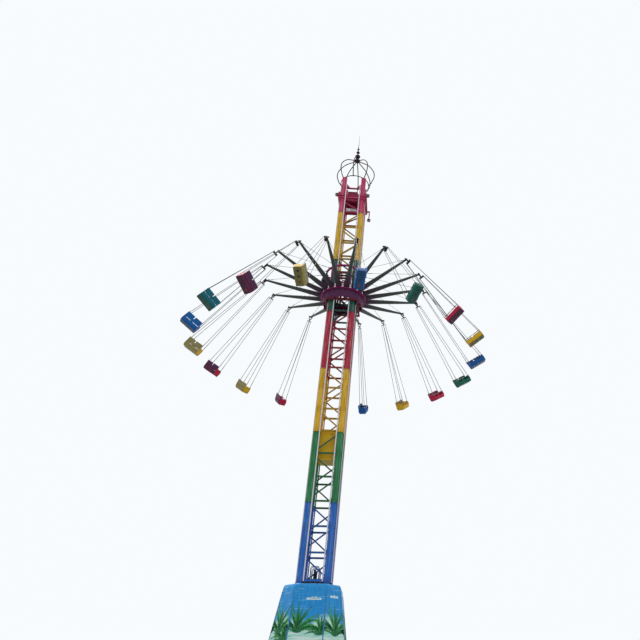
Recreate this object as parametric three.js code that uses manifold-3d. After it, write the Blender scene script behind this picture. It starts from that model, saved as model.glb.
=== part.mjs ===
// Chair swing ride: a lattice tower with a lifting carriage, a turntable with eighteen
// arms and eighteen hanging double benches. Millimetres, +Z up, origin on the ground
// under the tower's axis. The benches are flung outward, as the ride turns.
import * as THREE from 'three';
import { ConvexGeometry } from 'three/addons/geometries/ConvexGeometry.js';
import { mergeVertices } from 'three/addons/utils/BufferGeometryUtils.js';
import Module from 'manifold-3d';

const wasm = await Module();
wasm.setup();

const DEGREE = Math.PI / 180;
const GAP = 0.3;

// Tower
const HOUSING_TOP = 5400;
const BASE_FRAME_TOP = 5560;
const SECTION = 4000;
const BAYS = 3;
const TOWER_HALF = 820;
const COLUMN = 300;
const HORIZONTAL = 90;
const DIAGONAL = 70;
const COLUMN_TOP = 32770;
const OPEN_HEAD = 31700;
const SECTIONS = [
  ['lattice_blue', 0x1f6fb8],
  ['lattice_green', 0x1f7a50],
  ['lattice_yellow_lower', 0xe8b91e],
  ['lattice_red_lower', 0xc43a45],
  ['lattice_teal', 0x1f7a66],
  ['lattice_yellow_upper', 0xe8b91e],
];
const RED_TOP_START = BASE_FRAME_TOP + SECTION * SECTIONS.length;

// Machine housing round the tower's foot
const HOUSING_WALL = 60;
const HOUSING_FOOT = { half: 2290, facet: 900, z: 0 };
const HOUSING_SHOULDER = { half: 1440, facet: 800, z: HOUSING_TOP - 220 };
const HOUSING_DECK = { half: 1330, facet: 730, z: HOUSING_TOP };

// Guide rails
const RAIL_X = 475;
const RAIL_WIDTH = 60;
const RAIL_FACE = 910;
const RAIL_TOP = 30900;

// Head
const HEAD_LOW = 30930;
const HEAD_POST_TOP = 31260;
const COLLAR_HALF = 980;
const BEAM_Y = 300;
const SHEAVE_RADIUS = 634;
const SHEAVE_Z = 31340;
const ROPE_RADIUS = 10;
const ROPE_X = SHEAVE_RADIUS + ROPE_RADIUS + GAP;

// Crown
const CROWN_RIBS = 8;
const CROWN_TURN = -4.1 * DEGREE;
const HOOP_RADIUS = 1000;
const HOOP_TUBE = 30;
const RIB_RADIUS = 30;
const RIB_PATH = [
  [HOOP_RADIUS, COLUMN_TOP + 25],
  [1165, 33017],
  [1238, 33247],
  [1293, 33383],
  [1348, 33650],
  [1303, 34070],
  [1085, 34473],
  [841, 34743],
  [538, 34926],
  [100, 35124],
];
const KNOT_Z = 35190;
const ROD_TOP = 37800;

// Carriage, turntable and arms, heights taken from the arm tips
const TIP_HEIGHT = 24100;
const TIP_RADIUS = 5100;
const SEATS = 18;
const FIRST_ARM = 1.1 * DEGREE;
const STEP = 2 * Math.PI / SEATS;
const POST = 120;
const POST_X = 300;
const POST_Y = 1010;
const CARRIAGE_LOW = -1780;
const CARRIAGE_HIGH = 340;
const SADDLE = 100;
const CROSS_BARS = [-1050, -500, -150, CARRIAGE_HIGH - 60];
const ROLLER_RADIUS = 60;
const ROLLER_LEVELS = [CARRIAGE_LOW + 300, CARRIAGE_HIGH - 250];
const BORE = 1190;
const DRUM_RADIUS = 1360;
const LIP_RADIUS = 1450;
const DRUM_LOW = -1120;
const DRUM_HIGH = -740;
const SKIRT_Z = -1430;
const SKIRT_RADIUS = 1345;
const STAY_RING_LOW = 640;
const STAY_RING_HIGH = 740;
const STAY_RING_RADIUS = 1300;
const MOTOR_RADIUS = 190;
const MOTOR_RING = 1370;
const ARM_ROOT_Z = -918;
const ARM_ROOT_RADIUS = 180;
const ARM_TIP_RADIUS = 67;
const RING_SIDES = 36;
const BAND_INNER = DRUM_RADIUS + GAP;
const BAND_OUTER = 1400;
const ARMS_PER_SECTOR = 6;

// Pivot at the arm tip
const PIN_RADIUS = 30;
const PIN_HALF = 150;
const PIN_SIDES = 6;
const CHEEK_INNER = 68;
const CHEEK_OUTER = 94;

// Hanger and bench, measured from the pivot along the hanging line
const FLING = 34.6 * DEGREE;
const BENCH_DROP = 6220;
const BENCH_HALF = 520;
const SIDE_TOP = 128;
const BACK_POST_HALF = 62;
const PAD_INNER = 25;
const CABLE_X = BENCH_HALF - 21;
const CABLE_Y = 170;
const CABLE_RADIUS = 13;
const BENCH_COLOURS = [
  'blue', 'green', 'red', 'yellow', 'blue', 'green', 'red', 'yellow', 'red',
  'yellow', 'blue', 'green', 'red', 'yellow', 'blue', 'green', 'red', 'yellow',
];
const COLOURS = { blue: 0x1f5fb8, green: 0x1f7a50, red: 0xc43a45, yellow: 0xe8b91e };

// Counterweight
const WEIGHT_LOW = 12000;
const WEIGHT_HIGH = 13750;
const WEIGHT_HALF = 500;

// Shape helpers: every shape is a closed surface of shared vertices.

function closed(geometry) {
  geometry.deleteAttribute('normal');
  geometry.deleteAttribute('uv');
  return mergeVertices(geometry, 1e-3);
}

function moved(geometry, matrix) {
  return geometry.clone().applyMatrix4(matrix);
}

function shifted(geometry, x, y, z) {
  return moved(geometry, new THREE.Matrix4().makeTranslation(x, y, z));
}

function turned(geometry, angle) {
  return moved(geometry, new THREE.Matrix4().makeRotationZ(angle));
}

function fourTimes(geometries) {
  return [0, 1, 2, 3].flatMap((k) => geometries.map((g) => turned(g, k * Math.PI / 2)));
}

function box(x0, x1, y0, y1, z0, z1) {
  const block = closed(new THREE.BoxGeometry(x1 - x0, y1 - y0, z1 - z0));
  return shifted(block, (x0 + x1) / 2, (y0 + y1) / 2, (z0 + z1) / 2);
}

// A straight piece between two points. Its width lies across both its run and `out`.
function between(geometry, from, to, out) {
  const run = to.clone().sub(from).normalize();
  const side = new THREE.Vector3().crossVectors(run, out).normalize();
  const face = new THREE.Vector3().crossVectors(side, run);
  const matrix = new THREE.Matrix4().makeBasis(side, run, face);
  matrix.setPosition(from.clone().add(to).multiplyScalar(0.5));
  return moved(geometry, matrix);
}

function bar(from, to, width, depth, out) {
  const block = closed(new THREE.BoxGeometry(width, from.distanceTo(to), depth));
  return between(block, from, to, out);
}

function rod(from, to, radius, sides, out = new THREE.Vector3(0.1, 0.2, 1)) {
  const round = new THREE.CylinderGeometry(radius, radius, from.distanceTo(to), sides);
  return between(closed(round), from, to, out);
}

function point(x, y, z) {
  return new THREE.Vector3(x, y, z);
}

// A ring about +Z from its section, which is listed anticlockwise as [radius, height].
function lathe(section, sides) {
  const outline = section.map(([r, z]) => new THREE.Vector2(r, z));
  if (section[0][0] > 0) {
    outline.push(outline[0].clone());
  }
  return closed(new THREE.LatheGeometry(outline, sides).rotateX(Math.PI / 2));
}

function ring(inner, outer, low, high, sides) {
  return lathe([[inner, low], [outer, low], [outer, high], [inner, high]], sides);
}

function hull(points) {
  return closed(new ConvexGeometry(points));
}

// A flat outline given in (y, z), thickened along x.
function plateAlongX(outline, x0, x1) {
  const shape = new THREE.Shape(outline.map(([y, z]) => new THREE.Vector2(y, z)));
  const slab = closed(new THREE.ExtrudeGeometry(shape, { depth: x1 - x0, bevelEnabled: false }));
  const axes = new THREE.Matrix4().makeBasis(point(0, 1, 0), point(0, 0, 1), point(1, 0, 0));
  return shifted(moved(slab, axes), x0, 0, 0);
}

function toSolid(geometry) {
  return new wasm.Manifold(new wasm.Mesh({
    numProp: 3,
    vertProperties: geometry.attributes.position.array,
    triVerts: new Uint32Array(geometry.index.array),
  }));
}

function toGeometry(solid) {
  const mesh = solid.getMesh();
  const geometry = new THREE.BufferGeometry();
  geometry.setAttribute('position', new THREE.BufferAttribute(mesh.vertProperties, 3));
  geometry.setIndex(new THREE.BufferAttribute(mesh.triVerts, 1));
  return geometry;
}

function joined(geometries) {
  return toGeometry(geometries.map(toSolid).reduce((whole, piece) => whole.add(piece)));
}

function cut(geometry, tools) {
  return toGeometry(tools.map(toSolid).reduce((rest, tool) => rest.subtract(tool), toSolid(geometry)));
}

function mesh(name, geometry, color, roughness = 0.5, metalness = 0.2) {
  const piece = new THREE.Mesh(geometry, new THREE.MeshStandardMaterial({ color, roughness, metalness }));
  piece.name = name;
  return piece;
}

// Tower lattice: four box columns, level bars and one diagonal a bay on each face.

function columns(low, high) {
  const inner = TOWER_HALF - COLUMN;
  return fourTimes([box(inner, TOWER_HALF, inner, TOWER_HALF, low, high)]);
}

function levelBars(z) {
  const reach = TOWER_HALF - COLUMN / 2;
  const face = TOWER_HALF - 10;
  const half = HORIZONTAL / 2;
  return fourTimes([box(-reach, reach, face - HORIZONTAL, face, z - half, z + half)]);
}

function diagonals(low, high, lean) {
  const reach = TOWER_HALF - COLUMN / 2;
  const y = TOWER_HALF - DIAGONAL / 2 - 15;
  const from = point(-lean * reach, y, low);
  const to = point(lean * reach, y, high);
  return fourTimes([bar(from, to, DIAGONAL, DIAGONAL, point(0, 1, 0))]);
}

function lattice(low, high, firstLean) {
  const bay = (high - low) / BAYS;
  const pieces = columns(low + GAP / 2, high - GAP / 2);
  for (let k = 0; k < BAYS; k += 1) {
    const start = low + k * bay;
    const lean = firstLean * (k % 2 ? -1 : 1);
    pieces.push(...levelBars(start + HORIZONTAL));
    pieces.push(...diagonals(start + HORIZONTAL * 2, start + bay - HORIZONTAL / 2, lean));
  }
  return joined(pieces);
}

function latticeSections() {
  return SECTIONS.map(([name, color], index) => {
    const low = BASE_FRAME_TOP + index * SECTION;
    return mesh(name, lattice(low, low + SECTION, index % 2 ? -1 : 1), color);
  });
}

// The top section has one braced bay. Above it the hoist looks out between the columns.
function latticeTop() {
  const bay = (COLUMN_TOP - RED_TOP_START) / BAYS;
  const pieces = [
    ...columns(RED_TOP_START + GAP / 2, COLUMN_TOP),
    ...levelBars(RED_TOP_START + HORIZONTAL),
    ...diagonals(RED_TOP_START + HORIZONTAL * 2, RED_TOP_START + bay - HORIZONTAL / 2, 1),
    ...levelBars(RED_TOP_START + bay + HORIZONTAL),
    ...levelBars(OPEN_HEAD + HORIZONTAL),
  ];
  return mesh('lattice_red_top', joined(pieces), 0xa83a58);
}

// Machine housing: an eight-sided tapered shell with a deck, open below.

function eightCorners({ half, facet, z }, inset = 0) {
  const a = half - inset;
  const b = facet - inset * 0.4;
  const ways = [[a, b], [b, a], [-b, a], [-a, b], [-a, -b], [-b, -a], [b, -a], [a, -b]];
  return ways.map(([x, y]) => point(x, y, z));
}

function baseHousing() {
  const levels = [HOUSING_FOOT, HOUSING_SHOULDER, HOUSING_DECK];
  const outside = hull(levels.flatMap((level) => eightCorners(level)));
  const room = [
    { ...HOUSING_FOOT, z: -50 },
    { ...HOUSING_SHOULDER, z: HOUSING_SHOULDER.z - 20 },
    { ...HOUSING_DECK, z: HOUSING_TOP - HOUSING_WALL },
  ];
  const inside = hull(room.flatMap((level) => eightCorners(level, HOUSING_WALL)));
  const hole = TOWER_HALF + 15;
  const well = box(-hole, hole, -hole, hole, 3000, HOUSING_TOP + 100);
  return mesh('base_housing', cut(outside, [inside, well]), 0x1f7ec8, 0.6, 0);
}

function towerFoot() {
  const bays = 2;
  const rise = (HOUSING_TOP - 40) / bays;
  const pieces = [box(-1000, 1000, -1000, 1000, 0, 40), ...columns(20, HOUSING_TOP)];
  for (let k = 0; k < bays; k += 1) {
    const low = 40 + k * rise;
    pieces.push(...levelBars(low + rise - HORIZONTAL));
    pieces.push(...diagonals(low + HORIZONTAL, low + rise - 2 * HORIZONTAL, k % 2 ? -1 : 1));
  }
  return mesh('tower_foot', joined(pieces), 0x3a4048);
}

function baseFrame() {
  const low = HOUSING_TOP + GAP;
  const high = BASE_FRAME_TOP - GAP / 2;
  const inner = TOWER_HALF - COLUMN;
  const reach = RAIL_X + RAIL_WIDTH / 2 + 40;
  const railSeat = box(-reach, reach, TOWER_HALF - 20, RAIL_FACE, low, high);
  const buffer = (y) => shifted(ring(0, 60, high - 20, high + 640, 12), 0, y, 0);
  const pieces = [
    ...fourTimes([box(-TOWER_HALF, TOWER_HALF, inner, TOWER_HALF, low, high), railSeat]),
    box(-110, 110, -inner - 20, inner + 20, low, high),
    buffer(-350),
    buffer(350),
  ];
  return mesh('base_frame', joined(pieces), 0x232c4a);
}

// Guide rails on all four faces. A bar ties each pair at its foot and a square ring ties
// all eight at the head.

function guideRails() {
  const back = TOWER_HALF + GAP;
  const low = BASE_FRAME_TOP + GAP;
  const rail = (x) => box(x - RAIL_WIDTH / 2, x + RAIL_WIDTH / 2, back, RAIL_FACE, low, RAIL_TOP);
  const tie = (reach, z) => box(-reach, reach, back, RAIL_FACE, z, z + 80);
  const footTie = tie(RAIL_X + RAIL_WIDTH / 2, low);
  const headTie = tie(RAIL_FACE, RAIL_TOP - 80);
  const face = [rail(-RAIL_X), rail(RAIL_X), footTie, headTie];
  return mesh('guide_rails', joined(fourTimes(face)), 0xd8d4e4, 0.35, 0.5);
}

// Head: side collars with the beams that carry the hoist machine, slim ties at the front
// and back, corner posts and the floodlights.

function floodlight(x, y, z, size) {
  const lamp = closed(new THREE.CylinderGeometry(size, size * 0.6, size * 1.1, 8));
  return shifted(lamp, x, y, z);
}

function headFrame() {
  const back = TOWER_HALF + 10;
  const beamEnd = COLLAR_HALF - 20;
  const side = box(-COLLAR_HALF, COLLAR_HALF, back, COLLAR_HALF, HEAD_LOW, HEAD_LOW + 200);
  const tie = box(-COLLAR_HALF, COLLAR_HALF, back, back + 60, HEAD_LOW + 60, HEAD_LOW + 120);
  const corner = box(back, COLLAR_HALF - 10, back, COLLAR_HALF - 10, HEAD_LOW, HEAD_POST_TOP);
  const beam = (y) => box(-beamEnd, beamEnd, y - 60, y + 60, HEAD_LOW + 20, HEAD_LOW + 180);
  const lampArm = box(beamEnd, 1190, 700, 780, HEAD_LOW + 30, HEAD_LOW + 110);
  const lampDrop = box(1120, 1190, 700, 780, HEAD_LOW - 630, HEAD_LOW + 110);
  const pieces = [
    turned(side, Math.PI / 2),
    turned(side, -Math.PI / 2),
    tie,
    turned(tie, Math.PI),
    ...fourTimes([corner]),
    beam(-BEAM_Y),
    beam(BEAM_Y),
    lampArm,
    lampDrop,
    floodlight(1155, 740, HEAD_LOW - 690, 110),
    floodlight(-1060, -860, HEAD_LOW + 150, 120),
    floodlight(1060, -860, HEAD_LOW + 200, 120),
  ];
  return mesh('head_frame', joined(pieces), 0x7a2440);
}

function hoistDrive() {
  const seat = HEAD_LOW + 180 + GAP;
  const disc = ring(0, SHEAVE_RADIUS, -45, 45, 28).rotateX(Math.PI / 2);
  const cheek = (y) => box(-190, 190, y - 50, y + 50, seat, SHEAVE_Z + 180);
  const winch = box(-330, 330, BEAM_Y + 40, BEAM_Y + 340, seat + 20, SHEAVE_Z + 260);
  const pieces = [
    shifted(disc, 0, 0, SHEAVE_Z),
    rod(point(0, -520, SHEAVE_Z), point(0, 520, SHEAVE_Z), 70, 10),
    cheek(-BEAM_Y),
    cheek(BEAM_Y),
    winch,
    turned(winch, Math.PI),
  ];
  return mesh('hoist_drive', joined(pieces), 0x8c2038);
}

// Hoist rope: up one side of the tower, over the sheave and down the other side.
function hoistRopes() {
  const low = BASE_FRAME_TOP + GAP;
  const turn = lathe([
    [ROPE_X - ROPE_RADIUS, -7],
    [ROPE_X + ROPE_RADIUS, -7],
    [ROPE_X + ROPE_RADIUS, 7],
    [ROPE_X - ROPE_RADIUS, 7],
  ], 28);
  const upright = shifted(turn.rotateX(Math.PI / 2), 0, 0, SHEAVE_Z);
  const lower = box(-800, 800, -50, 50, SHEAVE_Z - 800, SHEAVE_Z);
  const fall = (x) => box(x - ROPE_RADIUS, x + ROPE_RADIUS, -7, 7, low, SHEAVE_Z + 10);
  return mesh('hoist_ropes', joined([cut(upright, [lower]), fall(ROPE_X), fall(-ROPE_X)]), 0x2c2c30);
}

// Crown: a hoop on the column tops, ribs that swell out from it and close in to a knot,
// beads and a thin rod.

function rib() {
  const path = new THREE.CatmullRomCurve3(RIB_PATH.map(([r, z]) => point(r, 0, z)));
  const corners = [0, 1, 2, 3].map((k) => {
    const angle = k * Math.PI / 2;
    return new THREE.Vector2(RIB_RADIUS * Math.cos(angle), RIB_RADIUS * Math.sin(angle));
  });
  return closed(new THREE.ExtrudeGeometry(new THREE.Shape(corners), { steps: 12, extrudePath: path }));
}

function bead(z, radius) {
  const half = radius * 0.75;
  const shoulder = radius * 0.6;
  const section = [[0, -half], [shoulder, -half * 0.8], [radius, 0], [shoulder, half * 0.8], [0, half]];
  return shifted(lathe(section, 8), 0, 0, z);
}

function crown() {
  const low = COLUMN_TOP + GAP;
  const pieces = [
    ring(HOOP_RADIUS - HOOP_TUBE, HOOP_RADIUS + HOOP_TUBE, low, low + 2 * HOOP_TUBE, 24),
    ring(0, 215, KNOT_Z - 95, KNOT_Z + 100, 8),
    bead(35620, 190),
    bead(36040, 125),
    bead(36370, 85),
    rod(point(0, 0, KNOT_Z), point(0, 0, ROD_TOP), 14, 6, point(0, 1, 0)),
  ];
  for (let k = 0; k < CROWN_RIBS; k += 1) {
    pieces.push(turned(rib(), CROWN_TURN + k * 2 * Math.PI / CROWN_RIBS));
  }
  return mesh('crown', joined(pieces), 0x3a3238);
}

// Carriage: two posts on each face that stand on a square saddle, cross bars, guide
// rollers on the rails and the brackets that carry the slewing base.

function roller(x, z) {
  const inward = Math.sign(x);
  const wheel = new THREE.CylinderGeometry(ROLLER_RADIUS, ROLLER_RADIUS, RAIL_WIDTH, 8);
  const hub = [x - inward * 30, x - inward * 125].sort((a, b) => a - b);
  return [
    shifted(closed(wheel.rotateZ(Math.PI / 2)), x, RAIL_FACE + 0.5 + ROLLER_RADIUS, z),
    box(hub[0], hub[1], 975, 1045, z - 40, z + 40),
  ];
}

function carriageFace() {
  const half = POST / 2;
  const inner = POST_Y - half;
  const outer = POST_Y + half;
  const saddleTop = CARRIAGE_LOW + SADDLE;
  const post = (x) => box(x - half, x + half, inner, outer, CARRIAGE_LOW, CARRIAGE_HIGH);
  const bracket = (x) => box(x - half, x + half, POST_Y, BORE + 40, CARRIAGE_LOW, saddleTop);
  return [
    box(-outer, outer, inner, outer, CARRIAGE_LOW, saddleTop),
    post(-POST_X),
    post(POST_X),
    bracket(-POST_X),
    bracket(POST_X),
    ...CROSS_BARS.map((z) => box(-POST_X, POST_X, inner + 15, outer - 15, z - 55, z + 55)),
    ...ROLLER_LEVELS.flatMap((z) => [...roller(-RAIL_X, z), ...roller(RAIL_X, z)]),
  ];
}

function carriageFrame() {
  return mesh('carriage_frame', joined(fourTimes(carriageFace())), 0x6e2436);
}

// The slewing base is a deep ring, tapered to its foot.
function slewingBase() {
  const low = CARRIAGE_LOW + SADDLE + GAP;
  const section = [
    [BORE, low],
    [BORE + 45, low],
    [SKIRT_RADIUS, SKIRT_Z],
    [SKIRT_RADIUS, DRUM_LOW - 20],
    [1270, DRUM_LOW - 20],
    [1270, DRUM_LOW - GAP],
    [BORE, DRUM_LOW - GAP],
  ];
  return mesh('slewing_base', lathe(section, 24), 0x5a2142);
}

// A spin motor stands on the turntable's drum, its terminal box facing outward.
function spinMotor(name, angle, color) {
  const low = DRUM_HIGH + GAP;
  const pieces = [
    ring(0, MOTOR_RADIUS * 0.55, low, low + 120, 8),
    ring(0, MOTOR_RADIUS, low + 110, low + 760, 10),
    ring(0, MOTOR_RADIUS * 0.85, low + 750, low + 1000, 10),
    box(MOTOR_RADIUS - 30, MOTOR_RADIUS + 70, -80, 80, low + 420, low + 640),
  ];
  const motor = mesh(name, joined(pieces), color);
  motor.position.set(MOTOR_RING * Math.cos(angle), MOTOR_RING * Math.sin(angle), 0);
  motor.rotation.z = angle;
  return motor;
}

// Turntable: a lipped drum, posts and the ring that the stay rods hang from.

function turntable() {
  const drum = lathe([
    [BORE, DRUM_LOW],
    [LIP_RADIUS, DRUM_LOW],
    [LIP_RADIUS, DRUM_LOW + 30],
    [DRUM_RADIUS, DRUM_LOW + 30],
    [DRUM_RADIUS, DRUM_HIGH],
    [BORE, DRUM_HIGH],
  ], RING_SIDES);
  const stayRing = ring(BORE, STAY_RING_RADIUS, STAY_RING_LOW, STAY_RING_HIGH, RING_SIDES);
  const pieces = [drum, stayRing].map((g) => turned(g, FIRST_ARM));
  const post = box(1215, 1275, -30, 30, DRUM_HIGH - 20, STAY_RING_LOW + 20);
  for (let k = 2; k < SEATS; k += 3) {
    pieces.push(turned(post, FIRST_ARM + (k + 0.5) * STEP));
  }
  return mesh('turntable', joined(pieces), 0x7a1848);
}

// One arm along +X: a tapered tube, the cross pin through its tip and its stay rod.

function octagonAt(x, z, radius) {
  const corners = [];
  for (let k = 0; k < 8; k += 1) {
    const angle = (k + 0.5) * Math.PI / 4;
    corners.push(point(x, radius * Math.cos(angle), z + radius * Math.sin(angle)));
  }
  return corners;
}

function pinRound(radius, half, turn) {
  const round = new THREE.CylinderGeometry(radius, radius, 2 * half, PIN_SIDES);
  return closed(round.rotateY(turn));
}

function arm() {
  const tube = hull([
    ...octagonAt(BAND_INNER + 15, ARM_ROOT_Z, ARM_ROOT_RADIUS),
    ...octagonAt(TIP_RADIUS + 60, 15, ARM_TIP_RADIUS),
  ]);
  const stayFrom = point(STAY_RING_RADIUS + 3 + GAP, 0, STAY_RING_HIGH - 40);
  const stayTo = point(TIP_RADIUS - 140, 0, 20);
  return [
    tube,
    shifted(pinRound(PIN_RADIUS, PIN_HALF, Math.PI / PIN_SIDES - FLING), TIP_RADIUS, 0, 0),
    bar(stayFrom, stayTo, 20, 20, point(0, 1, 0)),
  ];
}

function sectorBand() {
  const slack = GAP / BAND_INNER;
  const start = -STEP / 2 + slack;
  const end = (ARMS_PER_SECTOR - 0.5) * STEP - slack;
  const shape = new THREE.Shape();
  shape.absarc(0, 0, BAND_OUTER, start, end, false);
  shape.absarc(0, 0, BAND_INNER, end, start, true);
  const low = DRUM_LOW + 30 + GAP;
  const depth = DRUM_HIGH - low - 5;
  const band = new THREE.ExtrudeGeometry(shape, { depth, bevelEnabled: false, curveSegments: 12 });
  return shifted(closed(band), 0, 0, low);
}

function armSector(index) {
  const pieces = [sectorBand()];
  for (let k = 0; k < ARMS_PER_SECTOR; k += 1) {
    pieces.push(...arm().map((g) => turned(g, k * STEP)));
  }
  const sector = mesh(`arm_sector_${index + 1}`, joined(pieces), 0x2e3331);
  sector.rotation.z = FIRST_ARM + index * ARMS_PER_SECTOR * STEP;
  return sector;
}

// Hanger: a clevis on the cross pin, a link, a spreader and four taut cables.

function hanger() {
  const linkHalf = 26;
  const forkTop = 42;
  const crotch = -130;
  const forkFoot = -200;
  const linkFoot = -280;
  const fork = [
    [-CHEEK_OUTER, forkTop], [-CHEEK_OUTER, forkFoot], [-linkHalf, forkFoot], [-linkHalf, linkFoot],
    [linkHalf, linkFoot], [linkHalf, forkFoot], [CHEEK_OUTER, forkFoot], [CHEEK_OUTER, forkTop],
    [CHEEK_INNER, forkTop], [CHEEK_INNER, crotch], [-CHEEK_INNER, crotch], [-CHEEK_INNER, forkTop],
  ];
  const bore = pinRound((PIN_RADIUS + GAP) / Math.cos(Math.PI / PIN_SIDES), PIN_HALF, 0);
  const pieces = [
    cut(plateAlongX(fork, -40, 40), [bore]),
    box(-170, 170, -88, 88, linkFoot - 45, linkFoot + 15),
  ];
  for (const sx of [-1, 1]) {
    for (const sy of [-1, 1]) {
      const top = point(sx * 150, sy * 70, linkFoot - 20);
      const foot = point(sx * CABLE_X, sy * CABLE_Y, SIDE_TOP + 1 - BENCH_DROP);
      pieces.push(rod(top, foot, CABLE_RADIUS, 3, point(0, 1, 0)));
    }
  }
  return joined(pieces);
}

// Double bench: tub, side arms, console with its post, two back pads and lap bar.
// Riders face -Y.

function bench() {
  const plate = 42;
  const inside = BENCH_HALF - 20;
  const tub = [[-215, -300], [185, -300], [250, -210], [262, -70], [-262, -70], [-255, -200]];
  const side = [
    [-225, -306], [192, -306], [262, -200], [294, 300],
    [252, 300], [212, SIDE_TOP], [-225, SIDE_TOP], [-275, -60],
  ];
  const pad = [[215, -38], [247, -38], [286, 292], [254, 292]];
  const backPost = [[214, -80], [248, -80], [272, 130], [238, 130]];
  return joined([
    plateAlongX(tub, -inside, inside),
    plateAlongX(side, -BENCH_HALF, -BENCH_HALF + plate),
    plateAlongX(side, BENCH_HALF - plate, BENCH_HALF),
    box(-38, 38, -210, 235, -90, 55),
    plateAlongX(backPost, -BACK_POST_HALF, BACK_POST_HALF),
    plateAlongX(pad, PAD_INNER, inside),
    plateAlongX(pad, -inside, -PAD_INNER),
    box(-inside, inside, -235, -200, 62, 102),
  ]);
}

function chair(index) {
  const number = String(index + 1).padStart(2, '0');
  const angle = FIRST_ARM + index * STEP;
  const pivot = new THREE.Group();
  pivot.position.set(TIP_RADIUS * Math.cos(angle), TIP_RADIUS * Math.sin(angle), 0);
  pivot.rotation.set(0, -FLING, angle, 'ZYX');
  const seat = mesh(`bench_${number}`, HANGING_BENCH.clone(), COLOURS[BENCH_COLOURS[index]], 0.35, 0);
  seat.position.z = -BENCH_DROP;
  pivot.add(mesh(`hanger_${number}`, HANGER.clone(), 0x3c4044), seat);
  return pivot;
}

// Counterweight inside the tower, hitched to the rope on both sides.

function counterweight() {
  const hitch = (way) => {
    const near = way * (WEIGHT_HALF - 20);
    const far = way * (ROPE_X - ROPE_RADIUS - GAP);
    return box(Math.min(near, far), Math.max(near, far), -60, 60, WEIGHT_HIGH - 300, WEIGHT_HIGH - 180);
  };
  const block = box(-WEIGHT_HALF, WEIGHT_HALF, -WEIGHT_HALF, WEIGHT_HALF, WEIGHT_LOW, WEIGHT_HIGH);
  return mesh('counterweight', joined([block, hitch(-1), hitch(1)]), 0xd9a81c);
}

const HANGER = hanger();
const HANGING_BENCH = bench();

const ride = new THREE.Group();
ride.add(baseHousing(), towerFoot(), baseFrame(), ...latticeSections(), latticeTop());
ride.add(guideRails(), headFrame(), hoistDrive(), hoistRopes(), crown(), counterweight());

const lift = new THREE.Group();
lift.position.z = TIP_HEIGHT;
lift.add(carriageFrame(), slewingBase());
lift.add(turntable());
lift.add(spinMotor('spin_motor_front', FIRST_ARM + 15.5 * STEP, 0xb84468));
lift.add(spinMotor('spin_motor_left', FIRST_ARM + 10.5 * STEP, 0x38343c));
for (let k = 0; k < SEATS / ARMS_PER_SECTOR; k += 1) {
  lift.add(armSector(k));
}
for (let k = 0; k < SEATS; k += 1) {
  lift.add(chair(k));
}
ride.add(lift);

export default ride;
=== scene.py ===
import math

import bmesh
import bpy
import numpy as np
from mathutils import Matrix, Vector


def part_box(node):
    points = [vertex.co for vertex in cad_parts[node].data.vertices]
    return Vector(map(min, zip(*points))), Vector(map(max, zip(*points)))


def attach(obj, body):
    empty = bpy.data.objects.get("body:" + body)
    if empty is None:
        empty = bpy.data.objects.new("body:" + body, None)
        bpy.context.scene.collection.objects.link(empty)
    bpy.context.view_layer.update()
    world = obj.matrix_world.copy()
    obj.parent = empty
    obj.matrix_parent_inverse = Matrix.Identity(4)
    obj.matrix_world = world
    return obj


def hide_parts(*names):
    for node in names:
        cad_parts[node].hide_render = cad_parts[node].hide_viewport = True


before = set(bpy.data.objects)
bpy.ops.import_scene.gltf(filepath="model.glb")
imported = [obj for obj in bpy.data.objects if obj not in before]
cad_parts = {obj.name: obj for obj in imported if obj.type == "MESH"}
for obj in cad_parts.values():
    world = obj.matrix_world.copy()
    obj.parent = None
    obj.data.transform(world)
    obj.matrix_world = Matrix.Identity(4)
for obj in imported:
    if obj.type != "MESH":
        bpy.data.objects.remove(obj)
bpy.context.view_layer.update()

# Camera: it stands on the ground in front of the ride and looks up past the tower's head.
# The lens is shifted sideways, because the tower stands well to the left of the lens axis.
CAMERA_PLACE = (3.938, -36.240, 0.189)
CAMERA_TURN = (120.304, 0.0, -5.158)
CAMERA_LENS = 36.6
CAMERA_SHIFT = (-0.2087, 0.007)

camera = bpy.data.objects.new("camera", bpy.data.cameras.new("camera"))
bpy.context.scene.collection.objects.link(camera)
camera.location = CAMERA_PLACE
camera.rotation_euler = [math.radians(angle) for angle in CAMERA_TURN]
camera.data.sensor_width = 36.0
camera.data.lens = CAMERA_LENS
camera.data.shift_x = CAMERA_SHIFT[0]
camera.data.shift_y = CAMERA_SHIFT[1]
camera.data.clip_end = 600.0
bpy.context.scene.camera = camera

# Machine housing: an eight-sided shell of glass-fibre panels over the foot of the tower. It is
# laid up in a mould, sprayed with gelcoat and painted by hand with sky, dunes and grass.
HOUSING_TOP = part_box("base_housing")[1][2]
HOUSING_FOOT = (2.29, 0.90)
HOUSING_SHOULDER = (1.44, 0.80)
SHOULDER_HEIGHT = 5.18
ROUND_START = 5.10
ROUND_REACH = 0.14
HOUSING_WALL = 0.06
WELL_HALF = 0.835
SKY_BLUE = "#1ca6ec"
SKY_DEEP = "#047ecc"
SKY_PALE = "#9fdcf2"
DUNE_MINT = "#86d6c4"
DUNE_WHITE = "#dcf2ea"
GRASS_TEAL = "#2c8d74"


def linear(code):
    """Turns an sRGB hex colour into the linear values that a shader takes."""
    levels = [int(code[k:k + 2], 16) / 255 for k in (1, 3, 5)]
    return [v / 12.92 if v <= 0.04045 else ((v + 0.055) / 1.055) ** 2.4 for v in levels] + [1.0]


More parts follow.
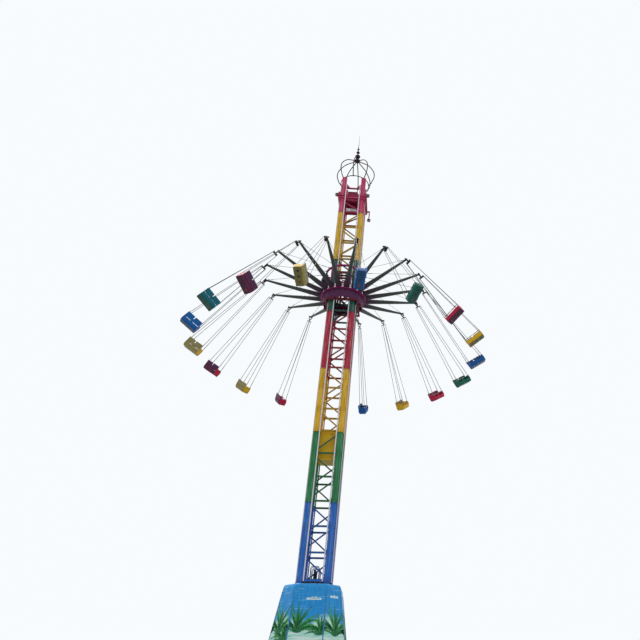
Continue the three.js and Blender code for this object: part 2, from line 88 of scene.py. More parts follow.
def feed(node, inputs):
    """Feeds inputs, by name or in order, with plain values, sockets or other nodes' results."""
    if isinstance(inputs, dict):
        pairs = [(node.inputs[name], value) for name, value in inputs.items()]
    else:
        pairs = zip([socket for socket in node.inputs if socket.enabled], inputs)
    for socket, value in pairs:
        if isinstance(value, bpy.types.Node):
            value = next(output for output in value.outputs if output.enabled)
        if isinstance(value, bpy.types.NodeSocket):
            node.id_data.links.new(value, socket)
        else:
            socket.default_value = value


def add(tree, kind, inputs=(), **settings):
    """Adds a node with its settings and feeds its inputs."""
    node = tree.nodes.new("ShaderNode" + kind)
    for name, value in settings.items():
        setattr(node, name, value)
    feed(node, inputs)
    return node


def new_finish(name):
    """Starts a material and gives its tree, its shader and the place on the piece in metres."""
    material = bpy.data.materials.new(name)
    material.use_nodes = True
    tree = material.node_tree
    place = add(tree, "TexCoord").outputs["Object"]
    return material, tree, tree.nodes["Principled BSDF"], place


def skin(rings, closed=False):
    """Skins rings of equal count. A closed row meets its first ring, an open one gets caps."""
    count = len(rings[0])
    faces = []
    for i in range(len(rings) if closed else len(rings) - 1):
        near = i * count
        far = (i + 1) % len(rings) * count
        for j in range(count):
            k = (j + 1) % count
            faces.append((near + j, near + k, far + k, far + j))
    if not closed:
        faces.append(tuple(range(count)))
        faces.append(tuple(range((len(rings) - 1) * count, len(rings) * count)))
    return np.vstack(rings).astype(float), faces


def piece(name, shapes, material, sharp=35, edge=0.0):
    """Joins shapes into one object of one finish. Edges over `sharp` degrees stay crisp, and
    `edge` is the width in metres of the small chamfer that catches the light on them."""
    points = np.vstack([shape[0] for shape in shapes])
    faces = []
    start = 0
    for shape_points, shape_faces in shapes:
        faces.extend([tuple(start + v for v in face) for face in shape_faces])
        start += len(shape_points)
    mesh = bpy.data.meshes.new(name)
    mesh.from_pydata(points.tolist(), [], faces)
    work = bmesh.new()
    work.from_mesh(mesh)
    bmesh.ops.recalc_face_normals(work, faces=work.faces)
    work.to_mesh(mesh)
    work.free()
    mesh.polygons.foreach_set("use_smooth", [True] * len(mesh.polygons))
    mesh.set_sharp_from_angle(angle=math.radians(sharp))
    mesh.materials.append(material)
    made = bpy.data.objects.new(name, mesh)
    bpy.context.scene.collection.objects.link(made)
    if edge:
        chamfer = made.modifiers.new("chamfer", "BEVEL")
        chamfer.width = edge
        chamfer.segments = 2
        chamfer.limit_method = "ANGLE"
        chamfer.angle_limit = math.radians(40)
    return made


def wall_at(z):
    """Half width and half side of the housing at a height."""
    share = z / SHOULDER_HEIGHT
    return [foot + (top - foot) * share for foot, top in zip(HOUSING_FOOT, HOUSING_SHOULDER)]


def eight_sided(half, side, z, steps=6):
    """One level of the housing: eight corners, with even steps along the sides."""
    corners = [(half, side), (side, half), (-side, half), (-half, side), (-half, -side), (-side, -half),
               (side, -half), (half, -side)]
    ring = []
    for k, (x, y) in enumerate(corners):
        far_x, far_y = corners[(k + 1) % 8]
        for s in range(steps):
            ring.append((x + (far_x - x) * s / steps, y + (far_y - y) * s / steps, z))
    return np.array(ring)


def housing_shell():
    """The shell: outside wall, rounded shoulder, deck, square well, and back down inside."""
    outside = [eight_sided(*wall_at(z), z) for z in np.linspace(0, ROUND_START, 7)]
    half, side = wall_at(ROUND_START)
    rise = HOUSING_TOP - ROUND_START
    for angle in np.radians([18, 36, 54, 72, 90]):
        drawn_in = ROUND_REACH * (1 - math.cos(angle))
        outside.append(eight_sided(half - drawn_in, side - drawn_in / 2,
                                   ROUND_START + rise * math.sin(angle)))
    well = outside[-1] * (WELL_HALF / np.abs(outside[-1][:, :2]).max(axis=1))[:, None]
    well[:, 2] = HOUSING_TOP
    below = well - (0, 0, HOUSING_WALL)
    inside = [eight_sided(*[v - HOUSING_WALL for v in wall_at(z)], z) for z in (ROUND_START, 2.6, 0)]
    return skin([*outside, well, below, *inside], closed=True)


def painted_gelcoat():
    """Gelcoat painted by hand: a bright sky with pale level streaks over mint dunes and a teal foot.
    Semi-gloss, with upright strokes 90 mm wide, the lighter of them also painted reflection streaks, and a
    slow ripple of 300 mm from the mould."""
    material, tree, shader, place = new_finish("hand_painted_gelcoat")
    axes = add(tree, "SeparateXYZ", [place]).outputs
    around = add(tree, "Math", [axes["Y"], axes["X"]], operation="ARCTAN2")
    hills = add(tree, "Math", [around, 5.0, 0.4], operation="MULTIPLY_ADD")
    swell = add(tree, "Math", [hills], operation="SINE")
    ragged = add(tree, "TexNoise", {"Vector": place, "Scale": 1 / 0.35, "Detail": 4.0})
    crest = add(tree, "Math", [swell, 0.22, 3.42], operation="MULTIPLY_ADD")
    edge = add(tree, "Math", [ragged, 0.5, crest], operation="MULTIPLY_ADD")
    above = add(tree, "Math", [axes["Z"], edge], operation="SUBTRACT")
    is_sky = add(tree, "MapRange", {"Value": above, "From Min": -0.15, "From Max": 0.2},
                 interpolation_type="SMOOTHSTEP")
    upright = add(tree, "Mapping", {"Vector": place, "Scale": (1 / 0.09, 1 / 0.09, 1 / 0.8)})
    strokes = add(tree, "TexNoise", {"Vector": upright, "Scale": 1.0, "Detail": 3.0})
    level = add(tree, "Mapping", {"Vector": place, "Scale": (1 / 0.7, 1 / 0.7, 1 / 0.08)})
    sweeps = add(tree, "TexNoise", {"Vector": level, "Scale": 1.0, "Detail": 3.0})
    # The lighter upright strokes are brushwork and also painted reflection streaks.
    stroke_and_glint = add(tree, "MapRange", {"Value": strokes, "From Min": 0.2, "From Max": 0.85})
    clear = add(tree, "Mix", [stroke_and_glint, linear(SKY_DEEP), linear(SKY_BLUE)], data_type="RGBA")
    haze = add(tree, "MapRange", {"Value": sweeps, "From Min": 0.56, "From Max": 0.8, "To Max": 0.6})
    sky = add(tree, "Mix", [haze, clear, linear(SKY_PALE)], data_type="RGBA")
    banks = add(tree, "MapRange", {"Value": sweeps, "From Min": 0.35, "From Max": 0.65})
    dune = add(tree, "Mix", [banks, linear(DUNE_MINT), linear(DUNE_WHITE)], data_type="RGBA")
    grass_share = add(tree, "MapRange", {"Value": axes["Z"], "From Min": 1.3, "From Max": 0.3},
                      interpolation_type="SMOOTHSTEP")
    ground = add(tree, "Mix", [grass_share, dune, linear(GRASS_TEAL)], data_type="RGBA")
    picture = add(tree, "Mix", [is_sky, ground, sky], data_type="RGBA")
    wear = add(tree, "MapRange", {"Value": ragged, "To Min": 0.28, "To Max": 0.5})
    ripple = add(tree, "TexNoise", {"Vector": place, "Scale": 1 / 0.3, "Detail": 1.0})
    coarse = add(tree, "Bump", {"Strength": 0.4, "Distance": 0.012, "Height": ripple})
    fine = add(tree, "Bump", {"Strength": 0.4, "Distance": 0.002, "Height": strokes, "Normal": coarse})
    feed(shader, {"Base Color": picture, "Roughness": wear, "Normal": fine, "Specular IOR Level": 0.3,
                  "Coat Weight": 0.1, "Coat Roughness": 0.2})
    return material


housing = piece("machine_housing", [housing_shell()], painted_gelcoat(), sharp=40, edge=0.025)
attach(housing, "root")
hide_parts("base_housing")

# Mural figures: tussocks of long blades over low round bushes, banks of cloud and a line of
# ripples, in thick acrylic. The paint stands a few millimetres proud, and each keeps to one panel.
PAINT_PROUD = 0.005
BLADES = 26
FRONT, FRONT_RIGHT, RIGHT, BACK_RIGHT, BACK, BACK_LEFT, LEFT, FRONT_LEFT = 6, 7, 0, 1, 2, 3, 4, 5
TUSSOCKS = [
    (FRONT_LEFT, (-0.10, 3.25), 1.40), (FRONT_LEFT, (0.36, 2.85), 0.95), (FRONT, (-0.46, 3.25), 1.35),
    (FRONT, (0.70, 3.15), 0.90), (FRONT_RIGHT, (0.05, 3.15), 1.40),
    (RIGHT, (-0.40, 2.95), 1.25), (RIGHT, (0.35, 2.85), 1.60), (BACK_RIGHT, (0.0, 3.0), 1.50),
    (BACK, (0.35, 3.00), 1.50), (BACK, (-0.40, 2.80), 1.15), (BACK_LEFT, (0.1, 3.0), 1.40),
    (LEFT, (-0.40, 3.00), 1.50), (LEFT, (0.35, 2.80), 1.15),
]
CLOUDS = [
    (FRONT, (0.22, 4.62), 0.72, 4), (FRONT_RIGHT, (0.0, 4.75), 0.5, 3), (RIGHT, (-0.3, 4.6), 0.7, 4),
    (BACK, (-0.35, 4.6), 0.8, 4), (LEFT, (0.3, 4.7), 0.7, 4),
]


def on_wall(side, across, z, proud):
    """A place on one of the eight sides, in metres across from its middle and up."""
    half, edge = wall_at(z)
    out = proud + (half if side % 2 == 0 else (half + edge) / math.sqrt(2))
    turn = side * math.pi / 4
    c, s = math.cos(turn), math.sin(turn)
    return out * c - across * s, out * s + across * c, z


def painted_patch(side, outline, proud=PAINT_PROUD):
    """A thin plate of paint with the given outline, listed as (across, up)."""
    front = np.array([on_wall(side, across, z, proud) for across, z in outline])
    back = np.array([on_wall(side, across, z, -PAINT_PROUD) for across, z in outline])
    return skin([back, front])


def bush_outline(middle, wide, tall, lobes):
    """A low bush whose edge is a row of scallops."""
    outline = []
    for angle in np.linspace(0, 2 * math.pi, lobes * 5, endpoint=False):
        reach = 0.45 + 0.05 * abs(math.sin(angle * lobes / 2))
        outline.append((middle[0] + wide * reach * math.cos(angle),
                        middle[1] + tall * reach * math.sin(angle)))
    return outline


def blade_outline(side, foot, lean, length, width):
    """A pointed blade that leaves its foot at a lean, droops to its tip and stays on its panel."""
    edges = ([], [])
    for share in np.linspace(0.02, 1.0, 8):
        bend = lean * (0.8 + 0.9 * share)
        x = foot[0] + length * share * math.sin(bend)
        z = foot[1] + length * share * math.cos(bend)
        swell = width * math.sin(math.pi * share ** 0.75) + 0.003
        half, edge = wall_at(z)
        limit = (edge if side % 2 == 0 else (half - edge) / math.sqrt(2)) - 0.03
        for way, margin in ((-1, edges[0]), (1, edges[1])):
            at = min(max(x + way * swell * math.cos(bend), -limit + 0.004 * way), limit + 0.004 * way)
            margin.append((at, z - way * swell * math.sin(bend)))
    return edges[0] + edges[1][::-1]


def cloud_outline(middle, length, lobes):
    """A flat-bottomed cloud whose top is a row of round lobes."""
    outline = [(middle[0] - length / 2, middle[1]), (middle[0] + length / 2, middle[1])]
    for k in range(lobes):
        centre = middle[0] + length * (0.5 - (k + 0.5) / lobes)
        radius = length / lobes * (0.5 + 0.35 * math.sin(math.pi * (k + 0.5) / lobes))
        for angle in np.radians([20, 55, 90, 125, 160]):
            outline.append((centre + radius * 0.9 * math.cos(angle), middle[1] + radius * math.sin(angle)))
    return outline


def ripple_outline(start, length, waves, thick):
    """A brushed wavy line of even thickness."""
    reach = np.linspace(0, 1, waves * 8 + 1)
    upper = [(start[0] + length * s, start[1] + 0.05 * math.sin(2 * math.pi * waves * s)) for s in reach]
    return upper + [(x, z - thick) for x, z in upper[::-1]]


def brushed_acrylic(name, code, streak_code):
    """Artists' acrylic enamel laid on with a 50 mm brush: nearly matt, with lighter ridges."""
    material, tree, shader, place = new_finish(name)
    stretched = add(tree, "Mapping", {"Vector": place, "Scale": (1 / 0.05, 1 / 0.05, 1 / 0.4)})
    ridges = add(tree, "TexNoise", {"Vector": stretched, "Scale": 1.0, "Detail": 3.0})
    share = add(tree, "MapRange", {"Value": ridges, "From Min": 0.35, "From Max": 0.75})
    colour = add(tree, "Mix", [share, linear(code), linear(streak_code)], data_type="RGBA")
    raised = add(tree, "Bump", {"Strength": 0.5, "Distance": 0.002, "Height": ridges})
    feed(shader, {"Base Color": colour, "Normal": raised, "Roughness": 0.55})
    return material


bushes = []
blades = []
young_blades = []
for side, middle, tall in TUSSOCKS:
    bushes.append(painted_patch(side, bush_outline((middle[0] * 0.9, middle[1]), 0.50, 0.26, 11)))
    for k in range(BLADES):
        lean = 0.95 * math.sin(k * 2.4)
        length = tall * (0.62 + 0.38 * math.cos(lean)) * (0.82 + 0.18 * math.cos(k * 1.7))
        foot = (middle[0] + 0.10 * math.sin(k * 2.4), middle[1] - 0.1 * math.cos(k * 1.1))
        target, proud = (young_blades, 1.8) if k % 3 == 1 else (blades, 1.3)
        outline = blade_outline(side, foot, lean, length, 0.044 if k % 3 else 0.056)
        target.append(painted_patch(side, outline, PAINT_PROUD * proud))
clouds = []
for side, middle, length, lobes in CLOUDS:
    clouds.append(painted_patch(side, cloud_outline(middle, length, lobes)))
ripples = []
for side in (FRONT, RIGHT, BACK, LEFT):
    for k, z in enumerate((2.30, 2.05, 1.75, 1.45)):
        ripples.append(painted_patch(side, ripple_outline((-0.7 + 0.1 * k, z), 1.1, 5, 0.035)))

mural = [
    piece("mural_bushes", bushes, brushed_acrylic("acrylic_bush_green", "#0a4f3a", "#1c7a58")),
    piece("mural_blades", blades, brushed_acrylic("acrylic_deep_green", "#0b6b38", "#1d9448")),
    piece("mural_young_blades", young_blades, brushed_acrylic("acrylic_young_green", "#148048", "#4fb562")),
    piece("mural_clouds", clouds, brushed_acrylic("acrylic_cloud_white", "#e2f2f8", "#a8d8f2")),
    piece("mural_ripples", ripples, brushed_acrylic("acrylic_ripple_teal", "#3f9a92", "#7cc4b6")),
]
for figure in mural:
    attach(figure, "root")

# Panel joints: each corner of the housing has a bolted flange under a narrow cover strip, and a
# foot flange ties the panels to the floor. Strips are pultruded glass fibre, screws are steel.
STRIP_WIDTH = 0.05
SCREW_STEP = 0.32


def flat_plate(outline, low, high):
    """A level plate whose outline is listed in (x, y), between two heights."""
    return skin([np.array([(x, y, z) for x, y in outline]) for z in (low, high)])


def block(corner, far_corner):
    """A block between two opposite corners."""
    (x0, y0, z0), (x1, y1, z1) = np.sort([corner, far_corner], axis=0)
    return flat_plate([(x0, y0), (x1, y0), (x1, y1), (x0, y1)], z0, z1)


def frame_along(run, face):
    """Side, run and face directions of a piece that runs one way and faces another."""
    run = np.array(run, float) / np.linalg.norm(run)
    side = np.cross(run, face)
    side /= np.linalg.norm(side)
    return side, run, np.cross(side, run)


def beam(start, end, width, depth, face):
    """A straight bar of rectangular section; `face` is the way its wide side looks."""
    start, end = np.array(start, float), np.array(end, float)
    side, _, out = frame_along(end - start, face)
    around = ((-1, -1), (1, -1), (1, 1), (-1, 1))
    corners = [side * (sx * width / 2) + out * (sy * depth / 2) for sx, sy in around]
    return skin([np.array([place + corner for corner in corners]) for place in (start, end)])


def stud(place, out, radius, height, sides=6):
    """A bolt head: a low prism with a smaller crown, standing on a surface."""
    out = np.array(out, float) / np.linalg.norm(out)
    helper = (0, 0, 1) if abs(out[2]) < 0.9 else (1, 0, 0)
    side, _, face = frame_along(out, helper)
    turns = np.arange(sides) * 2 * math.pi / sides
    ring = np.outer(np.cos(turns), side) + np.outer(np.sin(turns), face)
    levels = ((-0.3, 1.0), (0.8, 1.0), (1.0, 0.8))
    foot = np.array(place, float)
    return skin([foot + out * height * level + radius * share * ring for level, share in levels])


def toned(code, factor, lift=0.0):
    """A darker or paler tone of a colour."""
    return [v * factor + lift for v in linear(code)[:3]] + [1.0]


def moulded_gelcoat(name, code, darkening=0.35, gloss=0.18):
    """Pigmented gelcoat out of a polished mould: a deep glossy skin over glass fibre, with faint
    waves 120 mm apart, grime in soft patches and dull scuffs about 15 mm long."""
    material, tree, shader, place = new_finish(name)
    patches = add(tree, "TexNoise", {"Vector": place, "Scale": 1 / 0.25, "Detail": 4.0})
    share = add(tree, "MapRange", {"Value": patches, "From Min": 0.4, "From Max": 0.75, "To Max": darkening})
    colour = add(tree, "Mix", [share, linear(code), toned(code, 0.4)], data_type="RGBA")
    stretched = add(tree, "Mapping", {"Vector": place, "Scale": (1 / 0.015, 1 / 0.08, 1 / 0.015)})
    scuffs = add(tree, "TexNoise", {"Vector": stretched, "Scale": 1.0, "Detail": 2.0})
    dull = add(tree, "MapRange",
               {"Value": scuffs, "From Min": 0.5, "From Max": 0.8, "To Min": gloss, "To Max": gloss + 0.3})
    waves = add(tree, "TexNoise", {"Vector": place, "Scale": 1 / 0.12, "Detail": 0.0})
    bump = add(tree, "Bump", {"Strength": 0.15, "Distance": 0.004, "Height": waves})
    feed(shader, {"Base Color": colour, "Roughness": dull, "Normal": bump, "Specular IOR Level": 0.3,
                  "Coat Weight": 0.3, "Coat Roughness": 0.12})
    return material


def zinc_plate(name, code="#9aa0a3"):
    """Hot-dip zinc on steel fasteners: grey metal with spangles 12 mm across and dull edges."""
    material, tree, shader, place = new_finish(name)
    spangle = add(tree, "TexVoronoi", {"Vector": place, "Scale": 1 / 0.012})
    share = add(tree, "SeparateXYZ", [spangle.outputs["Color"]]).outputs["X"]
    colour = add(tree, "Mix", [share, linear(code), toned(code, 0.6)], data_type="RGBA")
    rough = add(tree, "MapRange", {"Value": share, "To Min": 0.35, "To Max": 0.55})
    feed(shader, {"Base Color": colour, "Roughness": rough, "Metallic": 0.85})
    return material


strips = []
screws = []
for corner in range(8):
    turn = (corner + 0.5) * math.pi / 4
    out = np.array((math.cos(turn), math.sin(turn), 0.16))
    ends = []
    for z in (0.03, ROUND_START - 0.02):
        half, side = wall_at(z)
        x, y = (half, side) if corner % 2 == 0 else (side, half)
        quarter = corner // 2 * math.pi / 2
        c, s = math.cos(quarter), math.sin(quarter)
        ends.append(np.array((x * c - y * s, x * s + y * c, z)))
    strips.append(beam(*ends, STRIP_WIDTH, 0.012, out))
    for share in np.arange(SCREW_STEP / 2, 5.0, SCREW_STEP) / 5.0:
        screws.append(stud(ends[0] + (ends[1] - ends[0]) * share + out * 0.006, out, 0.011, 0.006))
half, side = wall_at(0)
outer = eight_sided(half - 0.002, side - 0.001, 0.0)
inner = outer * (0.962, 0.962, 0)
lift = (0, 0, 0.014)
foot_flange = skin([outer, outer + lift, inner + lift, inner], closed=True)
strip_finish = moulded_gelcoat("gelcoat_strip_blue", "#2f86c8")
cover_strips = piece("housing_cover_strips", [*strips, foot_flange], strip_finish)
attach(cover_strips, "root")
zinc = zinc_plate("zinc_plated_steel")
housing_screws = piece("housing_screws", screws, zinc)
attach(housing_screws, "root")

# Tower foot: a base plate and the first two bays, inside the housing, of hot-rolled sections
# under grey primer. The plate is held down by anchor nuts round the four columns.
PLATE_TOP = 0.04
ANCHOR_RADIUS = 0.032
ANCHOR_ROW = 0.92
UP = (0, 0, 1)


def dress(node, material):
    """Gives a construction node its finish."""
    target = bpy.data.objects[node]
    for slot in target.material_slots:
        slot.link = "OBJECT"
        slot.material = material


def rolled_enamel(name, code, chalk=0.3, dirt=0.35, gloss=0.34):
    """Two-pack enamel rolled on hot-rolled steel: it chalks in slow patches of 400 mm, rain draws
    dark runs about 25 mm wide down it, and specks of primer show where it has chipped."""
    material, tree, shader, place = new_finish(name)
    patches = add(tree, "TexNoise", {"Vector": place, "Scale": 1 / 0.4, "Detail": 4.0})
    chalked = add(tree, "MapRange", {"Value": patches, "From Min": 0.45, "From Max": 0.75, "To Max": chalk})
    colour = add(tree, "Mix", [chalked, linear(code), toned(code, 1.35, 0.02)], data_type="RGBA")
    upright = add(tree, "Mapping", {"Vector": place, "Scale": (1 / 0.025, 1 / 0.025, 1 / 0.8)})
    runs = add(tree, "TexNoise", {"Vector": upright, "Scale": 1.0, "Detail": 3.0})
    soiled = add(tree, "MapRange", {"Value": runs, "From Min": 0.52, "From Max": 0.78, "To Max": dirt})
    colour = add(tree, "Mix", [soiled, colour, toned(code, 0.35, 0.004)], data_type="RGBA")
    specks = add(tree, "TexNoise", {"Vector": place, "Scale": 1 / 0.02, "Detail": 2.0})
    chipped = add(tree, "MapRange", {"Value": specks, "From Min": 0.74, "From Max": 0.76, "To Max": 0.8})
    colour = add(tree, "Mix", [chipped, colour, linear("#5a3a2c")], data_type="RGBA")
    dull = add(tree, "MapRange",
               {"Value": patches, "From Min": 0.3, "From Max": 0.8, "To Min": gloss,
                "To Max": gloss + 0.25})
    peel = add(tree, "TexNoise", {"Vector": place, "Scale": 1 / 0.006, "Detail": 1.0})
    bump = add(tree, "Bump", {"Strength": 0.15, "Distance": 0.0006, "Height": peel})
    feed(shader, {"Base Color": colour, "Roughness": dull, "Normal": bump, "Specular IOR Level": 0.25,
                  "Coat Weight": 0.12, "Coat Roughness": 0.25})
    return material


def four_faces(shapes):
    """Repeats shapes on the tower's four faces."""
    turned = []
    for k in range(4):
        c, s = [(1, 0), (0, 1), (-1, 0), (0, -1)][k]
        turn = np.array(((c, -s, 0), (s, c, 0), (0, 0, 1)))
        turned.extend([(points @ turn.T, faces) for points, faces in shapes])
    return turned


dress("tower_foot", rolled_enamel("grey_zinc_primer", "#4a4442", chalk=0.4, gloss=0.5))
anchors = []
for x in (0.52, 0.66, 0.80, ANCHOR_ROW):
    for way in (1, -1):
        anchors.append(stud((way * x, ANCHOR_ROW, PLATE_TOP), UP, ANCHOR_RADIUS, 0.03))
anchor_nuts = piece("anchor_nuts", four_faces(anchors), zinc)
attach(anchor_nuts, "root")

# Base frame: a ring of deep channels on the deck, bolted to the columns, with two rubber-topped
# buffers under the counterweight and a pale tubular guard round them.
FRAME_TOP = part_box("lattice_blue")[0][2]
FRAME_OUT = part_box("base_frame")[1][0]
BUFFER_Y = 0.35
BUFFER_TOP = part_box("base_frame")[1][2]
GUARD_HALF = 0.22
GUARD_DEPTH = 0.14
GUARD_TOP = 6.35


def tube(path, radius, sides=12, radii=None):
    """A round tube along a path of points, with one radius or a list of them."""
    path = np.array(path, float)
    runs = np.gradient(path, axis=0)
    helper = (0.0, 0.0, 1.0) if abs(runs[0][2]) < 0.9 * np.linalg.norm(runs[0]) else (1.0, 0.0, 0.0)
    turns = np.arange(sides) * 2 * math.pi / sides
    rings = []
    for k, (place, run) in enumerate(zip(path, runs)):
        run = run / np.linalg.norm(run)
        across = np.cross(run, helper)
        across /= np.linalg.norm(across)
        up = np.cross(across, run)
        helper = up
        size = radius if radii is None else radii[k]
        rings.append(place + size * (np.outer(np.cos(turns), across) + np.outer(np.sin(turns), up)))
    return skin(rings)


def turned(profile, sides=48, closed=True):
    """A shape turned about the tower's axis. A closed profile returns to its first point."""
    turns = np.arange(sides) * 2 * math.pi / sides
    rings = [np.array([(r * math.cos(a), r * math.sin(a), z) for a in turns]) for r, z in profile]
    return skin(rings, closed=closed)


def shifted(shape, move):
    """The same shape in another place."""
    return shape[0] + np.array(move, float), shape[1]


navy_paint = rolled_enamel("enamel_navy", "#131c38")
dress("base_frame", navy_paint)
frame_bolts = []
stiffeners = []
for x in np.arange(-0.50, 0.51, 0.25):
    stiffeners.append(block((x - 0.006, -FRAME_OUT - 0.008, HOUSING_TOP + 0.012),
                            (x + 0.006, -0.86, FRAME_TOP - 0.012)))
for x in np.arange(-0.375, 0.4, 0.25):
    for z in (HOUSING_TOP + 0.045, FRAME_TOP - 0.045):
        frame_bolts.append(stud((x, -FRAME_OUT, z), (0, -1, 0), 0.017, 0.010))
for z in (HOUSING_TOP + 0.002, FRAME_TOP - 0.016):
    stiffeners.append(block((-0.548, -FRAME_OUT - 0.010, z), (0.548, -FRAME_OUT + 0.02, z + 0.014)))
base_bolts = piece("base_frame_bolts", four_faces(frame_bolts), zinc)
channel_ribs = piece("base_channel_ribs", four_faces(stiffeners), navy_paint, edge=0.002)
for fitting in (base_bolts, channel_ribs):
    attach(fitting, "root")


def hard_rubber():
    """Black vulcanised rubber: matt, slightly grey where it has weathered, with a 4 mm grain."""
    material, tree, shader, place = new_finish("vulcanised_rubber")
    grain = add(tree, "TexNoise", {"Vector": place, "Scale": 1 / 0.004, "Detail": 2.0})
    colour = add(tree, "Mix", [grain, linear("#151515"), linear("#34332f")], data_type="RGBA")
    bump = add(tree, "Bump", {"Strength": 0.4, "Distance": 0.001, "Height": grain})
    feed(shader, {"Base Color": colour, "Normal": bump, "Roughness": 0.75})
    return material


caps = []
guards = []
CAP = [(0.0, 0.0), (0.056, 0.0), (0.066, 0.012), (0.066, 0.06), (0.05, 0.085), (0.0, 0.09)]
cap = turned(CAP, 24, closed=False)
rib = turned([(0.055, 0), (0.069, 0.012), (0.055, 0.024)], 24)
for way in (-1, 1):
    y = way * BUFFER_Y
    caps.append(shifted(cap, (0, y, BUFFER_TOP - 0.085)))
    for k in range(7):
        caps.append(shifted(rib, (0, y, 5.7 + 0.06 * k)))
    for x in (-GUARD_HALF, GUARD_HALF):
        for dy in (-GUARD_DEPTH, GUARD_DEPTH):
            upright = [(x, y + dy, FRAME_TOP - 0.02), (x, y + dy, GUARD_TOP - 0.1),
                       (x * 0.8, y + dy, GUARD_TOP)]
            guards.append(tube(upright, 0.016, 8))
        z = FRAME_TOP + 0.3
        guards.append(beam((x, y - GUARD_DEPTH, z), (x, y + GUARD_DEPTH, z), 0.02, 0.02, UP))
    for dy in (-GUARD_DEPTH, GUARD_DEPTH):
        start = np.array((-GUARD_HALF * 0.8, y + dy, GUARD_TOP))
        guards.append(beam(start, start * (-1, 1, 1), 0.032, 0.032, UP))
        start = np.array((-GUARD_HALF - 0.03, y + dy, FRAME_TOP + 0.005))
        guards.append(beam(start, start * (-1, 1, 1), 0.05, 0.012, UP))
rubber = hard_rubber()
buffer_caps = piece("buffer_caps", caps, rubber)
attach(buffer_caps, "root")
buffer_guards = piece("buffer_guards", guards, rolled_enamel("enamel_mid_blue", "#3f7fb8"))
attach(buffer_guards, "root")

# Tower sections: welded lattices, each 4 m long and sprayed one colour in the yard, then bolted
# end to end through square flanges. Gusset plates join the braces to the box columns.
SECTIONS = {
    "lattice_blue": ("tower_blue", "enamel_signal_blue", "#066ac6"),
    "lattice_green": ("tower_green", "enamel_leaf_green", "#0a8048"),
    "lattice_yellow_lower": ("tower_yellow", "enamel_sun_yellow", "#e0b216"),
    "lattice_red_lower": ("tower_red", "enamel_flag_red", "#b81e3c"),
    "lattice_teal": ("tower_teal", "enamel_sea_teal", "#12594c"),
    "lattice_yellow_upper": ("tower_yellow", "enamel_corn_yellow", "#dfb424"),
    "lattice_red_top": ("tower_crimson", "enamel_crimson", "#c83468"),
}
TOWER_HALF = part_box("lattice_blue")[1][0]
COLUMN = 0.30
SECTION_LENGTH = 4.0
BAYS = 3
LEVEL_RISE = 0.09
FLANGE_REACH = TOWER_HALF + 0.026
FLANGE_THICK = 0.019
FLANGE_CLIP = 0.05
BOLT_MARGIN = 0.013
GUSSET = 0.008
OUTWARD = (0, 1, 0)


def second_coat(material):
    """Tree, shader, colour so far and place of a finish that gets one more coat."""
    tree = material.node_tree
    shader = tree.nodes["Principled BSDF"]
    painted = shader.inputs["Base Color"].links[0].from_socket
    return tree, shader, painted, add(tree, "TexCoord").outputs["Object"]


def tower_enamel(name, code):
    """The tower's enamel: sun-faded and rusty streaks about 70 mm wide and 1 m long, and painted
    shade that darkens the thin bars between the columns."""
    material = rolled_enamel(name, code, chalk=0.4, dirt=0.45)
    tree, shader, painted, place = second_coat(material)
    axes = add(tree, "SeparateXYZ", [place]).outputs
    reaches = [add(tree, "Math", [axes[axis]], operation="ABSOLUTE") for axis in "XY"]
    nearer = add(tree, "Math", reaches, operation="MINIMUM")
    inner = TOWER_HALF - COLUMN
    # This mask is painted shade: it darkens the thin bars between the columns.
    darkening = add(tree, "MapRange",
                {"Value": nearer, "From Min": inner, "From Max": inner - 0.03, "To Max": 0.55})
    long = add(tree, "Mapping", {"Vector": place, "Scale": (1 / 0.07, 1 / 0.07, 1.0)})
    streaks = add(tree, "TexNoise", {"Vector": long, "Scale": 1.0, "Detail": 2.0})
    faded = add(tree, "MapRange", {"Value": streaks, "From Min": 0.5, "From Max": 0.7, "To Max": 0.4})
    colour = add(tree, "Mix", [faded, painted, toned(code, 0.7, 0.28)], data_type="RGBA")
    rusty = add(tree, "MapRange", {"Value": streaks, "From Min": 0.48, "From Max": 0.32, "To Max": 0.6})
    rust = [v * 0.45 + extra for v, extra in zip(linear(code)[:3], (0.07, 0.012, 0.008))] + [1.0]
    colour = add(tree, "Mix", [rusty, colour, rust], data_type="RGBA")
    # Painted shade laid over the bars between the columns.
    colour = add(tree, "Mix", [darkening, colour, toned(code, 0.25, 0.005)], data_type="RGBA")
    feed(shader, {"Base Color": colour})
    return material


def upright_plate(outline, y0, y1):
    """A plate whose outline is listed in (x, z), between two values of y."""
    return skin([np.array([(x, y, z) for x, z in outline]) for y in (y0, y1)])


def level_plates(z):
    """Gusset plates and bolts where a level bar meets the two columns of a face."""
    plates = []
    studs = []
    face = TOWER_HALF - 0.009
    for way in (-1, 1):
        outline = [(0.40, -0.05), (0.44, -0.05), (0.525, -0.15), (0.525, 0.15), (0.44, 0.05), (0.40, 0.05)]
        plates.append(upright_plate([(way * x, z + dz) for x, dz in outline], face, face + GUSSET))
        studs.append(stud((way * 0.42, face + GUSSET, z), OUTWARD, 0.014, 0.011))
        for dz in (-0.11, 0.0, 0.11):
            for x in (0.575, 0.765):
                studs.append(stud((way * x, TOWER_HALF, z + dz), OUTWARD, 0.018, 0.014))
    return plates, studs


